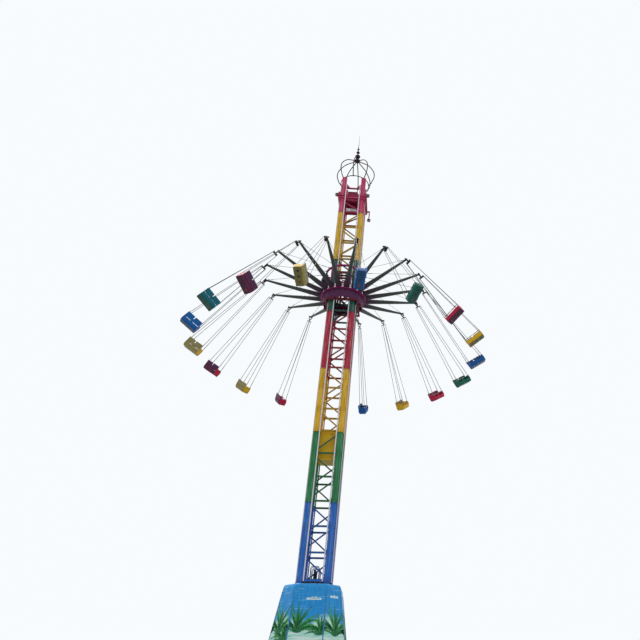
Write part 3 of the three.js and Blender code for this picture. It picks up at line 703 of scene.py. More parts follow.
def flange_at(z, way):
    """A square flange round every column, above or below a joint, with its bolts and ribs. Its outer
    corner is clipped so that the slewing ring can pass."""
    inner = TOWER_HALF - COLUMN + 0.001
    clipped = FLANGE_REACH - FLANGE_CLIP
    outline = [(inner, inner), (FLANGE_REACH, inner), (FLANGE_REACH, clipped), (clipped, FLANGE_REACH),
               (inner, FLANGE_REACH)]
    head = z + way * FLANGE_THICK
    plates = [flat_plate(outline, *sorted((z + way * 0.001, head)))]
    studs = []
    for x in np.linspace(inner + 0.02, clipped - BOLT_MARGIN, 5):
        studs.append(stud((x, FLANGE_REACH - BOLT_MARGIN, head), (0, 0, way), 0.010, 0.012))
        studs.append(stud((FLANGE_REACH - BOLT_MARGIN, x, head), (0, 0, way), 0.010, 0.012))
    for x in (0.62, 0.72):
        web = [(TOWER_HALF - 0.001, z), (FLANGE_REACH, z), (TOWER_HALF - 0.001, z + way * 0.09)]
        plates.append(skin([np.array([(x + dx, y, h) for y, h in web]) for dx in (-0.004, 0.004)]))
    return plates, studs


joint_bolts = []
for node, (slot_name, finish_name, code) in SECTIONS.items():
    enamel = tower_enamel(finish_name, code)
    dress(node, enamel)
    low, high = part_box(node)[0][2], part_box(node)[1][2]
    plates = []
    for z, way in [(low, 1)] if node == "lattice_red_top" else [(low, 1), (high, -1)]:
        more_plates, more_studs = flange_at(z, way)
        plates.extend(more_plates)
        joint_bolts.extend(more_studs)
    for k in range(BAYS):
        more_plates, more_studs = level_plates(low + k * (high - low) / BAYS + LEVEL_RISE)
        plates.extend(more_plates)
        joint_bolts.extend(more_studs)
    fittings = piece(node + "_gussets", four_faces(plates), enamel, edge=0.002)
    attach(fittings, "root")
bolt_paint = rolled_enamel("zinc_bolts_painted_over", "#4b3b34", gloss=0.45)
tower_bolts = piece("tower_bolts", four_faces(joint_bolts), bolt_paint)
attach(tower_bolts, "root")
shoes = [block((way * 0.690 - 0.138, TOWER_HALF - 0.004, HOUSING_TOP + 0.001),
               (way * 0.690 + 0.138, TOWER_HALF + 0.008, FRAME_TOP - 0.002)) for way in (-1, 1)]
blue_paint = bpy.data.materials["enamel_signal_blue"]
column_shoes = piece("column_shoes", four_faces(shoes), blue_paint, edge=0.003)
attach(column_shoes, "root")

# Guide rails: cold-drawn square bars on all four faces, held by clips at each level bar. Their
# flanks were sprayed with the sections; the outer 40 mm is pale where the rollers polish it.
RAIL_X = 0.475
RAIL_CLEAR = 0.031
RAIL_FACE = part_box("guide_rails")[1][0]
RAIL_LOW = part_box("guide_rails")[0][2]
RAIL_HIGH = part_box("guide_rails")[1][2]


def polished_rail():
    """Drawn steel rail: the flanks and the top ring in the sections' enamels, and outside them a
    pale worn track with grey streaks 12 mm wide and up to 1.5 m long."""
    material, tree, shader, place = new_finish("worn_guide_rail")
    axes = add(tree, "SeparateXYZ", [place]).outputs
    upright = add(tree, "Mapping", {"Vector": place, "Scale": (1 / 0.012, 1 / 0.012, 1 / 1.5)})
    streaks = add(tree, "TexNoise", {"Vector": upright, "Scale": 1.0, "Detail": 3.0})
    worn = add(tree, "MapRange", {"Value": streaks, "From Min": 0.5, "From Max": 0.66})
    track = add(tree, "Mix", [worn, linear("#e4dde8"), linear("#b9b6c4")], data_type="RGBA")
    height = add(tree, "MapRange", {"Value": axes["Z"], "From Min": RAIL_LOW, "From Max": RAIL_HIGH})
    sprayed = add(tree, "ValToRGB", [height])
    sprayed.color_ramp.interpolation = "CONSTANT"
    for k, (node, (_, _, code)) in enumerate(SECTIONS.items()):
        share = max(0.0, (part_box(node)[0][2] - RAIL_LOW) / (RAIL_HIGH - RAIL_LOW))
        stops = sprayed.color_ramp.elements
        stop = stops[0] if k == 0 else stops.new(share)
        stop.position = share
        stop.color = linear(code)
    sprayed.color_ramp.elements.remove(sprayed.color_ramp.elements[-1])
    reaches = [add(tree, "Math", [axes[name]], operation="ABSOLUTE") for name in "XY"]
    reach = add(tree, "Math", reaches, operation="MAXIMUM")
    outside = add(tree, "MapRange",
                  {"Value": reach, "From Min": RAIL_FACE - 0.044, "From Max": RAIL_FACE - 0.040})
    nearer = add(tree, "Math", reaches, operation="MINIMUM")
    on_bar = add(tree, "Math", [nearer, RAIL_X, RAIL_CLEAR], operation="COMPARE")
    bright = add(tree, "Math", [outside, on_bar], operation="MULTIPLY")
    colour = add(tree, "Mix", [bright, sprayed, track], data_type="RGBA")
    metal = add(tree, "Math", [worn, bright], operation="MULTIPLY")
    shine = add(tree, "MapRange", {"Value": metal, "To Max": 0.5})
    rough = add(tree, "MapRange", {"Value": metal, "To Min": 0.5, "To Max": 0.3})
    feed(shader, {"Base Color": colour, "Metallic": shine, "Roughness": rough})
    return material


rail_paint = polished_rail()
dress("guide_rails", rail_paint)
clips = []
clip_bolts = []
for x in (-RAIL_X, RAIL_X):
    for z in np.arange(FRAME_TOP + LEVEL_RISE, RAIL_HIGH - 0.2, SECTION_LENGTH / BAYS):
        for way in (-1, 1):
            near, far = x + way * RAIL_CLEAR, x + way * (RAIL_CLEAR + 0.035)
            clips.append(block((near, TOWER_HALF - 0.008, z - 0.035), (far, TOWER_HALF + 0.018, z + 0.035)))
            clip_bolts.append(stud((x + way * 0.049, TOWER_HALF + 0.018, z), OUTWARD, 0.012, 0.01))
    for z in np.arange(RAIL_LOW + SECTION_LENGTH, RAIL_HIGH - 1.0, SECTION_LENGTH):
        clips.append(block((x - 0.04, TOWER_HALF + 0.004, z - 0.12),
                           (x + 0.04, TOWER_HALF + 0.03, z + 0.12)))
    clips.append(block((x - 0.03, TOWER_HALF, RAIL_HIGH - 0.001), (x + 0.03, RAIL_FACE, RAIL_HIGH + 1.15)))
rail_clips = piece("rail_clips", four_faces(clips), rail_paint, edge=0.002)
rail_clip_bolts = piece("rail_clip_bolts", four_faces(clip_bolts), zinc)
for fitting in (rail_clips, rail_clip_bolts):
    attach(fitting, "root")

# Hoist ropes: three greased steel wire ropes side by side, up one side of the tower, over the
# sheave and down the other. Each is laid from six strands, with a lay of about 120 mm.
SHEAVE_HEIGHT = 31.34
ROPE_REACH = 0.644
ROPE_RADIUS = 0.009
ROPE_PITCH = 0.026
ROPE_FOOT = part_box("hoist_ropes")[0][2]


def laid_wire(name, code, lay, groove=0.4, metal=0.7):
    """Bare drawn wire laid into rope: dark grease in the grooves and grey crowns, as slanting
    bands. The bands are drawn coarser than real strands so that they still show."""
    material, tree, shader, place = new_finish(name)
    bands = add(tree, "TexWave", {"Vector": place, "Scale": 1 / lay, "Distortion": 0.4},
                bands_direction="DIAGONAL")
    colour = add(tree, "Mix", [bands.outputs["Fac"], toned(code, groove), linear(code)], data_type="RGBA")
    bump = add(tree, "Bump", {"Strength": 0.6, "Distance": 0.002, "Height": bands.outputs["Fac"]})
    feed(shader, {"Base Color": colour, "Normal": bump, "Metallic": metal, "Roughness": 0.45})
    return material


ropes = []
for k in (-1, 0, 1):
    y = k * ROPE_PITCH
    path = [(-ROPE_REACH, y, z) for z in np.linspace(ROPE_FOOT + 0.005, SHEAVE_HEIGHT, 12)]
    for angle in np.radians(np.arange(172, 4, -8)):
        path.append((ROPE_REACH * math.cos(angle), y, SHEAVE_HEIGHT + ROPE_REACH * math.sin(angle)))
    path += [(ROPE_REACH, y, z) for z in np.linspace(SHEAVE_HEIGHT, ROPE_FOOT + 0.005, 12)]
    ropes.append(tube(path, ROPE_RADIUS, 8))
hoist_ropes = piece("wire_hoist_ropes", ropes, laid_wire("greased_wire_rope", "#55544f", 0.04))
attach(hoist_ropes, "root")
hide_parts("hoist_ropes")

# Counterweight: a fabricated box packed with cast slabs, in yellow enamel. Angle irons bind its
# edges, straps hold the slabs, and rubber shoes at its corners run inside the columns.
WEIGHT_LOW, WEIGHT_HIGH = [corner[2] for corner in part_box("counterweight")]
WEIGHT_HALF = 0.50
weight_paint = rolled_enamel("enamel_plant_yellow", "#e2b21a", dirt=0.3)
dress("counterweight", weight_paint)
irons = []
iron_bolts = []
for z in (WEIGHT_LOW + 0.03, (WEIGHT_LOW + WEIGHT_HIGH) / 2, WEIGHT_HIGH - 0.03):
    irons.append(block((-WEIGHT_HALF, WEIGHT_HALF, z - 0.03), (WEIGHT_HALF, WEIGHT_HALF + 0.010, z + 0.03)))
for x in (-WEIGHT_HALF + 0.02, -0.17, 0.17, WEIGHT_HALF - 0.02):
    foot = (x - 0.03, WEIGHT_HALF, WEIGHT_LOW + 0.002)
    irons.append(block(foot, (x + 0.03, WEIGHT_HALF + 0.012, WEIGHT_HIGH - 0.002)))
    for z in np.linspace(WEIGHT_LOW + 0.15, WEIGHT_HIGH - 0.15, 6):
        iron_bolts.append(stud((x, WEIGHT_HALF + 0.012, z), OUTWARD, 0.014, 0.008))
for x in (-0.33, 0.33):
    irons.append(block((x - 0.008, -0.06, WEIGHT_HIGH - 0.002), (x + 0.008, 0.06, WEIGHT_HIGH + 0.04)))
weight_irons = piece("weight_straps", four_faces(irons), weight_paint, edge=0.002)
weight_bolts = piece("weight_bolts", four_faces(iron_bolts), zinc)
for fitting in (weight_irons, weight_bolts):
    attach(fitting, "weight")
shoe_at = WEIGHT_HALF - 0.05
shoes = [block((shoe_at, shoe_at, z), (0.514, 0.514, z + 0.12))
         for z in (WEIGHT_LOW + 0.12, WEIGHT_HIGH - 0.24)]
guide_shoes = piece("weight_shoes", four_faces(shoes), rubber, edge=0.006)
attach(guide_shoes, "weight")

# Head frame: a channel collar on either side of the columns, slim ties at the front and back, and
# beams between them for the hoist, all in dark crimson. Gussets stiffen the open column tops.
COLLAR_HALF = 0.98
HEAD_BEAM_Y = 0.30
COLUMN_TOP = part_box("lattice_red_top")[1][2]
HEAD_LOW = 30.93
HEAD_GUSSET = [(0.53, 32.20), (0.53, 31.80), (0.20, 31.80), (0.20, 31.86), (0.46, 32.20)]
GUSSET_FROM, GUSSET_TO = 0.735, 0.747
head_paint = rolled_enamel("enamel_dark_crimson", "#a02450")
dress("head_frame", head_paint)
gussets = []
head_studs = []
for way in (-1, 1):
    gussets.append(upright_plate([(way * x, z) for x, z in HEAD_GUSSET], GUSSET_FROM, GUSSET_TO))
    for z in (31.88, 32.02, 32.14):
        head_studs.append(stud((way * 0.50, GUSSET_TO, z), OUTWARD, 0.014, 0.01))
gussets.append(block((0.51, 0.51, COLUMN_TOP - 0.001), (0.83, 0.83, COLUMN_TOP + 0.012)))
head_gussets = piece("head_gussets", four_faces(gussets), head_paint, edge=0.002)
flanges = []
for way in (-1, 1):
    near, far = way * (COLLAR_HALF - 0.03), way * (COLLAR_HALF + 0.02)
    for z in (HEAD_LOW - 0.006, HEAD_LOW + 0.192):
        flanges.append(block((near, -COLLAR_HALF - 0.005, z), (far, COLLAR_HALF + 0.005, z + 0.014)))
    for y in np.arange(-0.88, 0.89, 0.22):
        for z in (HEAD_LOW + 0.05, HEAD_LOW + 0.15):
            head_studs.append(stud((way * COLLAR_HALF, y, z), (way, 0, 0), 0.016, 0.012))
        web_from, web_to = way * (COLLAR_HALF - 0.01), way * (COLLAR_HALF + 0.016)
        flanges.append(block((web_from, y + 0.104, HEAD_LOW + 0.004),
                             (web_to, y + 0.114, HEAD_LOW + 0.196)))
    for beam_way in (-1, 1):
        for z in (HEAD_LOW + 0.016, HEAD_LOW + 0.172):
            y = way * HEAD_BEAM_Y + beam_way * 0.045
            flanges.append(beam((-0.955, y, z), (0.955, y, z), 0.05, 0.012, UP))
collar_flanges = piece("head_collar_flanges", flanges, head_paint, edge=0.002)
head_bolts = piece("head_bolts", head_studs, zinc)
for fitting in (head_gussets, collar_flanges, head_bolts):
    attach(fitting, "root")

# Floodlights: die-cast lamps with a finned back, a steel bezel and a glass face, on stirrups at
# the head's corners and on the drop bracket. They point down and outward.
LAMPS = [((1.155, 0.74, 30.24), 0.11), ((-1.06, -0.86, 31.08), 0.12), ((1.06, -0.86, 31.13), 0.12)]


def lamp_shapes(place, size):
    """Body, fins and bezel of one lamp, turned about its upright axis."""
    body = [(0.0, 0.62), (0.52, 0.62), (0.72, 0.35), (1.04, -0.45), (1.12, -0.5), (1.12, -0.64),
            (0.98, -0.64), (0.98, -0.56), (0.0, -0.56)]
    shapes = [shifted(turned([(r * size, z * size) for r, z in body], 32, closed=False), place)]
    for k in range(5):
        level = (0.52 - 0.13 * k) * size
        root, edge = 0.3 * size, (0.86 + 0.04 * k) * size
        fin = [(root, level), (edge, level), (edge, level + 0.05 * size), (root, level + 0.05 * size)]
        shapes.append(shifted(turned(fin, 24), place))
    return shapes


def cast_aluminium(name, code):
    """Powder-coated die-cast aluminium: dark, faintly textured at 3 mm, with soft highlights."""
    material, tree, shader, place = new_finish(name)
    texture = add(tree, "TexNoise", {"Vector": place, "Scale": 1 / 0.003, "Detail": 2.0})
    colour = add(tree, "Mix", [texture, toned(code, 0.7), linear(code)], data_type="RGBA")
    bump = add(tree, "Bump", {"Strength": 0.3, "Distance": 0.0008, "Height": texture})
    feed(shader, {"Base Color": colour, "Normal": bump, "Metallic": 0.2, "Roughness": 0.5})
    return material


def lamp_glass():
    """Toughened prismatic glass: smoky grey with 10 mm ridges, sealed in its bezel."""
    material, tree, shader, place = new_finish("prismatic_glass")
    ridges = add(tree, "TexWave", {"Vector": place, "Scale": 1 / 0.03})
    colour = add(tree, "Mix", [ridges.outputs["Fac"], linear("#6f7478"), linear("#b9bdc0")],
                 data_type="RGBA")
    bump = add(tree, "Bump", {"Strength": 0.5, "Distance": 0.002, "Height": ridges.outputs["Fac"]})
    feed(shader, {"Base Color": colour, "Normal": bump, "Roughness": 0.08, "IOR": 1.5})
    return material


lamp_parts = []
lenses = []
for place, size in LAMPS:
    lamp_parts.extend(lamp_shapes(place, size))
    lens = [(0.0, -0.70), (0.5, -0.67), (0.95, -0.59), (0.95, -0.53), (0.0, -0.53)]
    lenses.append(shifted(turned([(r * size, z * size) for r, z in lens], 32, closed=False), place))
    x, y, z = place
    for way in (-1, 1):
        side = x + way * size * 1.18
        lamp_parts.append(beam((side, y, z - 0.1 * size), (side, y, z + 0.95 * size), 0.035, 0.008,
                               (1, 0, 0)))
    top = z + 0.93 * size
    lamp_parts.append(beam((x - size * 1.2, y, top), (x + size * 1.2, y, top), 0.035, 0.008, UP))
floodlights = piece("floodlights", lamp_parts, cast_aluminium("powder_coated_casting", "#3a3634"))
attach(floodlights, "root")
lamp_lenses = piece("floodlight_lenses", lenses, lamp_glass())
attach(lamp_lenses, "root")

# Hoist drive: a grooved cast sheave on a forged shaft between two cheeks, with a geared motor on
# each side. The motors have cooling ribs and slatted covers in machine red.
DRIVE_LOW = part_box("hoist_drive")[0][2]
SHEAVE_RIM = [(0.56, -0.05), (0.66, -0.058), (0.66, -0.045), (0.635, -0.042), (0.635, 0.042), (0.66, 0.045),
              (0.66, 0.058), (0.56, 0.05)]
machine_paint = rolled_enamel("hammered_machine_red", "#86183e", dirt=0.5)
dress("hoist_drive", machine_paint)
upright = np.array(((1, 0, 0), (0, 0, 1), (0, -1, 0)))
rim_points, rim_faces = turned(SHEAVE_RIM, 72)
drive_parts = [(rim_points @ upright.T + (0, 0, SHEAVE_HEIGHT), rim_faces)]
bearing = turned([(0.0, 0.0), (0.13, 0.0), (0.13, 0.05), (0.10, 0.07), (0.0, 0.07)], 24, closed=False)
for way in (-1, 1):
    for k in range(9):
        z = DRIVE_LOW + 0.06 + k * 0.05
        drive_parts.append(block((-0.29, way * 0.64 - 0.012, z), (0.29, way * 0.64 + 0.012, z + 0.02)))
    y = way * 0.49
    for k in range(8):
        x = -0.28 + k * 0.08
        z = SHEAVE_HEIGHT + 0.25
        drive_parts.append(block((x - 0.006, y - 0.14, z), (x + 0.006, y + 0.14, z + 0.05)))
    for x in (-0.34, 0.34):
        foot = (x - 0.02, y - 0.12, DRIVE_LOW + 0.05)
        drive_parts.append(block(foot, (x + 0.02, y + 0.12, SHEAVE_HEIGHT + 0.12)))
    drive_parts.append((bearing[0] @ upright.T * (1, way, 1) + (0, way * 0.352, SHEAVE_HEIGHT), bearing[1]))
drive_details = piece("drive_covers", drive_parts, machine_paint, edge=0.003)
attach(drive_details, "root")

# Crown: eight steel tubes bent on a roller swell out from a hoop on the column tops and close in
# to a turned knot, with three spun beads and a thin rod above, all in dark enamel.
RIB_PATH = [(1.000, 32.795), (1.165, 33.017), (1.238, 33.247), (1.293, 33.383), (1.348, 33.650),
            (1.303, 34.070), (1.085, 34.473), (0.841, 34.743), (0.538, 34.926), (0.100, 35.124)]
RIBS = 8
RIB_TURN = math.radians(-4.1)
RIB_RADIUS = 0.034
HOOP_RADIUS = 1.0
HOOP_HEIGHT = 32.80
ROD_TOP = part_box("crown")[1][2]


def eased(points, steps=8):
    """A smooth run through the given points, with even steps between each two of them."""
    points = np.array([points[0], *points, points[-1]], float)
    run = []
    for k in range(1, len(points) - 2):
        a, b, c, d = points[k - 1:k + 3]
        for t in np.arange(steps) / steps:
            square, cube = 2 * a - 5 * b + 4 * c - d, 3 * b - a - 3 * c + d
            run.append(0.5 * (2 * b + (c - a) * t + square * t ** 2 + cube * t ** 3))
    run.append(points[-1])
    return np.array(run)


crown_paint = rolled_enamel("enamel_wine_black", "#2c1420", chalk=0.1)
crown_parts = []
socket_profile = [(0.0, 0.0), (0.046, 0.0), (0.052, 0.03), (0.046, 0.07), (0.034, 0.09), (0.0, 0.09)]
socket = turned(socket_profile, 20, closed=False)
for k in range(RIBS):
    angle = RIB_TURN + k * 2 * math.pi / RIBS
    c, s = math.cos(angle), math.sin(angle)
    crown_parts.append(tube([(r * c, r * s, z) for r, z in eased(RIB_PATH)], RIB_RADIUS, 12))
    crown_parts.append(shifted(socket, (HOOP_RADIUS * c, HOOP_RADIUS * s, HOOP_HEIGHT - 0.028)))
turns = np.arange(12) * math.pi / 6
hoop = [(HOOP_RADIUS + 0.03 * math.cos(a), HOOP_HEIGHT + 0.03 * math.sin(a)) for a in turns]
crown_parts.append(turned(hoop, 72))
for k in range(4):
    for side in (-0.1, 0.1):
        angles = (k + 0.5) * math.pi / 2 + side + np.linspace(-0.03, 0.03, 3)
        clamp = [(HOOP_RADIUS * math.cos(a), HOOP_RADIUS * math.sin(a), HOOP_HEIGHT + 0.003)
                 for a in angles]
        crown_parts.append(tube(clamp, 0.038, 12))
knot = [(0.0, 35.075), (0.10, 35.08), (0.17, 35.11), (0.215, 35.16), (0.215, 35.215), (0.16, 35.26),
        (0.075, 35.29), (0.055, 35.36), (0.075, 35.41), (0.05, 35.45), (0.0, 35.46)]
crown_parts.append(turned(knot, 40, closed=False))
collar = turned([(0.0, -0.03), (0.045, -0.03), (0.05, 0.0), (0.045, 0.03), (0.0, 0.03)], 20, closed=False)
for height, radius in ((35.62, 0.19), (36.04, 0.125), (36.37, 0.085)):
    arc = np.radians(np.arange(-90, 91, 12))
    profile = [(radius * math.cos(a), height + radius * 0.8 * math.sin(a)) for a in arc]
    profile[0], profile[-1] = (0.0, profile[0][1]), (0.0, profile[-1][1])
    crown_parts.append(turned(profile, 32, closed=False))
    crown_parts.append(shifted(collar, (0, 0, height + radius * 0.8)))
rod = [(0, 0, 35.2), (0, 0, 36.4), (0, 0, 37.0), (0, 0, ROD_TOP)]
crown_parts.append(tube(rod, 0.014, 10, [0.03, 0.026, 0.014, 0.006]))
crown = piece("crown_tubes", crown_parts, crown_paint)
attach(crown, "root")
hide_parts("crown")

# Carriage: a welded cage that climbs the rails, in dark red enamel. Flat braces cross between its
# posts, and every guide roller is a rubber tyre on a steel hub with a capped axle.
TIP_HEIGHT = 24.10
POST_X = 0.30
POST_Y = 1.01
ROLLER_RADIUS = 0.060
ROLLER_LEVELS = (-1.48, 0.09)
CAGE_LEVELS = (-1.05, -0.50, -0.15, 0.28)
carriage_paint = rolled_enamel("enamel_oxblood", "#6a162e")
dress("carriage_frame", carriage_paint)
braces = []
cage_bolts = []
for low, high in zip(CAGE_LEVELS[:-1], CAGE_LEVELS[1:]):
    for way in (-1, 1):
        foot = (way * 0.24, POST_Y - 0.012, TIP_HEIGHT + low + 0.05)
        head = (-way * 0.24, POST_Y - 0.012, TIP_HEIGHT + high - 0.05)
        braces.append(beam(foot, head, 0.05, 0.010 + 0.004 * way, OUTWARD))
    cage_bolts.append(stud((0, POST_Y - 0.006, TIP_HEIGHT + (low + high) / 2), OUTWARD, 0.018, 0.012))
for level in CAGE_LEVELS:
    z = TIP_HEIGHT + level
    for x in (-POST_X, POST_X):
        braces.append(block((x - 0.075, POST_Y + 0.058, z - 0.07), (x + 0.075, POST_Y + 0.066, z + 0.07)))
        for dx in (-0.05, 0.05):
            for dz in (-0.045, 0.045):
                cage_bolts.append(stud((x + dx, POST_Y + 0.066, z + dz), OUTWARD, 0.013, 0.01))
for x in (-RAIL_X, RAIL_X):
    inward = math.copysign(1, x)
    near, far = x - inward * 0.125, x - inward * 0.105
    for level in ROLLER_LEVELS:
        z = TIP_HEIGHT + level
        braces.append(block((near, 0.965, z - 0.10), (far, 1.065, z + 0.10)))
        axle_end = (x + inward * 0.036, RAIL_FACE + ROLLER_RADIUS, z)
        cage_bolts.append(stud(axle_end, (inward, 0, 0), 0.022, 0.014))
cage_braces = piece("carriage_braces", four_faces(braces), carriage_paint, edge=0.002)
carriage_bolts = piece("carriage_bolts", four_faces(cage_bolts), zinc)
for fitting in (cage_braces, carriage_bolts):
    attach(fitting, "carriage")
tyres = []
lying = np.array(((0, 0, 1), (1, 0, 0), (0, 1, 0)))
TYRE = [(0.034, -0.030), (0.056, -0.030), (0.0605, -0.024), (0.0605, 0.024), (0.056, 0.030), (0.034, 0.030)]
tyre = turned(TYRE, 32)
for x in (-RAIL_X, RAIL_X):
    for level in ROLLER_LEVELS:
        axle = (x, RAIL_FACE + 0.0005 + ROLLER_RADIUS, TIP_HEIGHT + level)
        tyres.append((tyre[0] @ lying.T + axle, tyre[1]))
roller_tyres = piece("roller_tyres", four_faces(tyres), rubber)
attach(roller_tyres, "carriage")

# Slewing base: a deep rolled ring, tapered to its foot, in purple enamel. Ribs are welded on its
# slope, and the toothed ring and the turntable's bearing are bolted to its head.
BASE_LOW, BASE_HIGH = [corner[2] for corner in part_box("slewing_base")]
BORE = 1.19
SKIRT_LOW = TIP_HEIGHT - 1.43
TEETH = 120
GIRDER = [(BORE, BASE_LOW), (1.222, BASE_LOW), (1.232, BASE_LOW + 0.006), (1.328, SKIRT_LOW),
          (1.328, BASE_HIGH - 0.16), (1.335, BASE_HIGH - 0.15), (1.335, BASE_HIGH - 0.022),
          (1.27, BASE_HIGH - 0.022), (1.27, BASE_HIGH), (BORE, BASE_HIGH)]
RIB = [(1.215, BASE_LOW + 0.002), (1.236, BASE_LOW + 0.002), (1.344, SKIRT_LOW), (1.344, BASE_HIGH - 0.17),
       (1.32, BASE_HIGH - 0.155)]
TOOTH = [(1.333, -0.016), (1.352, -0.008), (1.352, 0.008), (1.333, 0.016)]


def radial_plate(outline, angle, near, far):
    """An upright plate that points out from the tower's axis, its outline listed as (out, up)."""
    c, s = math.cos(angle), math.sin(angle)
    return skin([np.array([(r * c - t * s, r * s + t * c, z) for r, z in outline]) for t in (near, far)])


base_paint = rolled_enamel("enamel_plum", "#581f50", chalk=0.15)
girder_parts = [turned(GIRDER, 96)]
for k in range(36):
    girder_parts.append(radial_plate(RIB, k * math.pi / 18, -0.006, 0.006))
slewing_ring = piece("slewing_girder", girder_parts, base_paint, sharp=30)
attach(slewing_ring, "carriage")
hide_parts("slewing_base")
teeth = []
for k in range(TEETH):
    angle = k * 2 * math.pi / TEETH
    c, s = math.cos(angle), math.sin(angle)
    tooth = [(r * c - t * s, r * s + t * c) for r, t in TOOTH]
    teeth.append(flat_plate(tooth, BASE_HIGH - 0.125, BASE_HIGH - 0.062))
under_bolts = [stud((1.207 * math.cos(a), 1.207 * math.sin(a), BASE_LOW), (0, 0, -1), 0.010, 0.010)
               for a in np.arange(48) * math.pi / 24]


def greased_gear():
    """Hardened gear steel under brown-black grease: dark metal, wet highlights, 20 mm smears."""
    material, tree, shader, place = new_finish("greased_gear_steel")
    smears = add(tree, "TexNoise", {"Vector": place, "Scale": 1 / 0.02, "Detail": 3.0})
    colour = add(tree, "Mix", [smears, linear("#1d1a18"), linear("#6a645c")], data_type="RGBA")
    rough = add(tree, "MapRange", {"Value": smears, "To Min": 0.15, "To Max": 0.5})
    feed(shader, {"Base Color": colour, "Roughness": rough, "Metallic": 0.8})
    return material


gear_ring = piece("slewing_gear", teeth + under_bolts, greased_gear())
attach(gear_ring, "carriage")

# Spin motors: two flanged gearmotors upright on the turntable's drum. Each has a ribbed cast
# frame, a terminal box and a domed fan cover; the front one is rose red, the left one's dark plum-grey is
# painted shade.
MOTOR_RING = 1.37
# The left motor's dark plum-grey is painted shade.
MOTORS = {"spin_motor_front": (311.1, "hammered_motor_rose", "#a02452", "motor_pink"),
          "spin_motor_left": (211.1, "hammered_motor_shade_dark", "#2c2530", "motor_dark")}
CASING = [(0.0, 0.0), (0.104, 0.0), (0.104, 0.016), (0.09, 0.024), (0.086, 0.09), (0.10, 0.105),
          (0.187, 0.112), (0.187, 0.136), (0.166, 0.15), (0.166, 0.63), (0.178, 0.645), (0.187, 0.66),
          (0.187, 0.745), (0.172, 0.76), (0.158, 0.77), (0.158, 0.93), (0.142, 0.972), (0.10, 0.994),
          (0.0, 0.998)]
casing = turned(CASING, 40, closed=False)
for node, (azimuth, finish_name, code, slot_name) in MOTORS.items():
    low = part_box(node)[0][2]
    angle = math.radians(azimuth)
    out = np.array((math.cos(angle), math.sin(angle), 0))
    place = out * MOTOR_RING + (0, 0, low)
    shapes = [shifted(casing, place)]
    for k in range(24):
        turn = (k + 0.5) * math.pi / 12
        way = np.array((math.cos(turn), math.sin(turn), 0))
        start = place + way * 0.176
        shapes.append(beam(start + (0, 0, 0.155), start + (0, 0, 0.625), 0.008, 0.026, way))
    for k in range(6):
        turn = (k + 0.5) * math.pi / 3
        way = np.array((math.cos(turn), math.sin(turn), 0))
        shapes.append(stud(place + way * 0.172 + (0, 0, 0.136), UP, 0.011, 0.012))
        slat = place + way * 0.160
        shapes.append(beam(slat + (0, 0, 0.79), slat + (0, 0, 0.91), 0.05, 0.008, way))
    centre = place + out * 0.215
    shapes.append(beam(centre + (0, 0, 0.425), centre + (0, 0, 0.635), 0.155, 0.082, out))
    lid = centre + out * 0.040
    shapes.append(beam(lid + (0, 0, 0.420), lid + (0, 0, 0.640), 0.165, 0.010, out))
    shapes.append(tube([centre + (0, 0, 0.43), centre + (0, 0, 0.40), centre + (0, 0, 0.36)], 0.022, 12))
    motor = piece(node + "_casing", shapes, rolled_enamel(finish_name, code, dirt=0.3))
    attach(motor, "rotor")
    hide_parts(node)

# Turntable: a rolled drum with a stepped rim, six posts and the upper ring that holds the stay
# rods, in magenta enamel. Ribs and pale cast lugs stand between the arm roots.
DRUM_LOW = TIP_HEIGHT - 1.12
DRUM_HIGH = TIP_HEIGHT - 0.74
DRUM_RADIUS = 1.36
LIP_RADIUS = 1.45
STAY_LOW, STAY_HIGH = TIP_HEIGHT + 0.64, TIP_HEIGHT + 0.74
STAY_RADIUS = 1.30
SEATS = 18
FIRST_ARM = math.radians(1.1)
STEP = 2 * math.pi / SEATS
DRUM = [(BORE, DRUM_LOW), (1.285, DRUM_LOW), (1.285, DRUM_LOW + 0.012), (1.315, DRUM_LOW + 0.012),
        (1.315, DRUM_LOW), (1.37, DRUM_LOW), (1.37, DRUM_LOW + 0.008), (1.40, DRUM_LOW + 0.008),
        (1.40, DRUM_LOW), (1.44, DRUM_LOW), (LIP_RADIUS, DRUM_LOW + 0.008), (LIP_RADIUS, DRUM_LOW + 0.024),
        (1.44, DRUM_LOW + 0.03), (1.40, DRUM_LOW + 0.03), (1.385, DRUM_LOW + 0.045),
        (1.385, DRUM_HIGH - 0.05), (1.40, DRUM_HIGH - 0.035), (1.40, DRUM_HIGH),
        (DRUM_RADIUS - 0.06, DRUM_HIGH), (DRUM_RADIUS - 0.07, DRUM_HIGH - 0.012), (BORE, DRUM_HIGH - 0.012)]
STAY_RING = [(BORE, STAY_LOW), (STAY_RADIUS, STAY_LOW), (STAY_RADIUS, STAY_LOW + 0.015),
             (1.285, STAY_LOW + 0.02), (1.285, STAY_HIGH - 0.02), (STAY_RADIUS, STAY_HIGH - 0.015),
             (STAY_RADIUS, STAY_HIGH), (BORE, STAY_HIGH)]
LUG = [(1.38, DRUM_LOW + 0.03), (1.445, DRUM_LOW + 0.03), (1.445, DRUM_LOW + 0.06), (1.41, DRUM_LOW + 0.16),
       (1.41, DRUM_HIGH - 0.08), (1.38, DRUM_HIGH - 0.03)]
LUG_FACE = [(1.38, DRUM_LOW + 0.04), (1.425, DRUM_LOW + 0.04), (1.403, DRUM_HIGH - 0.07),
            (1.38, DRUM_HIGH - 0.05)]
drum_parts = [turned(DRUM, 144), turned(STAY_RING, 144)]
lugs = []
table_bolts = []
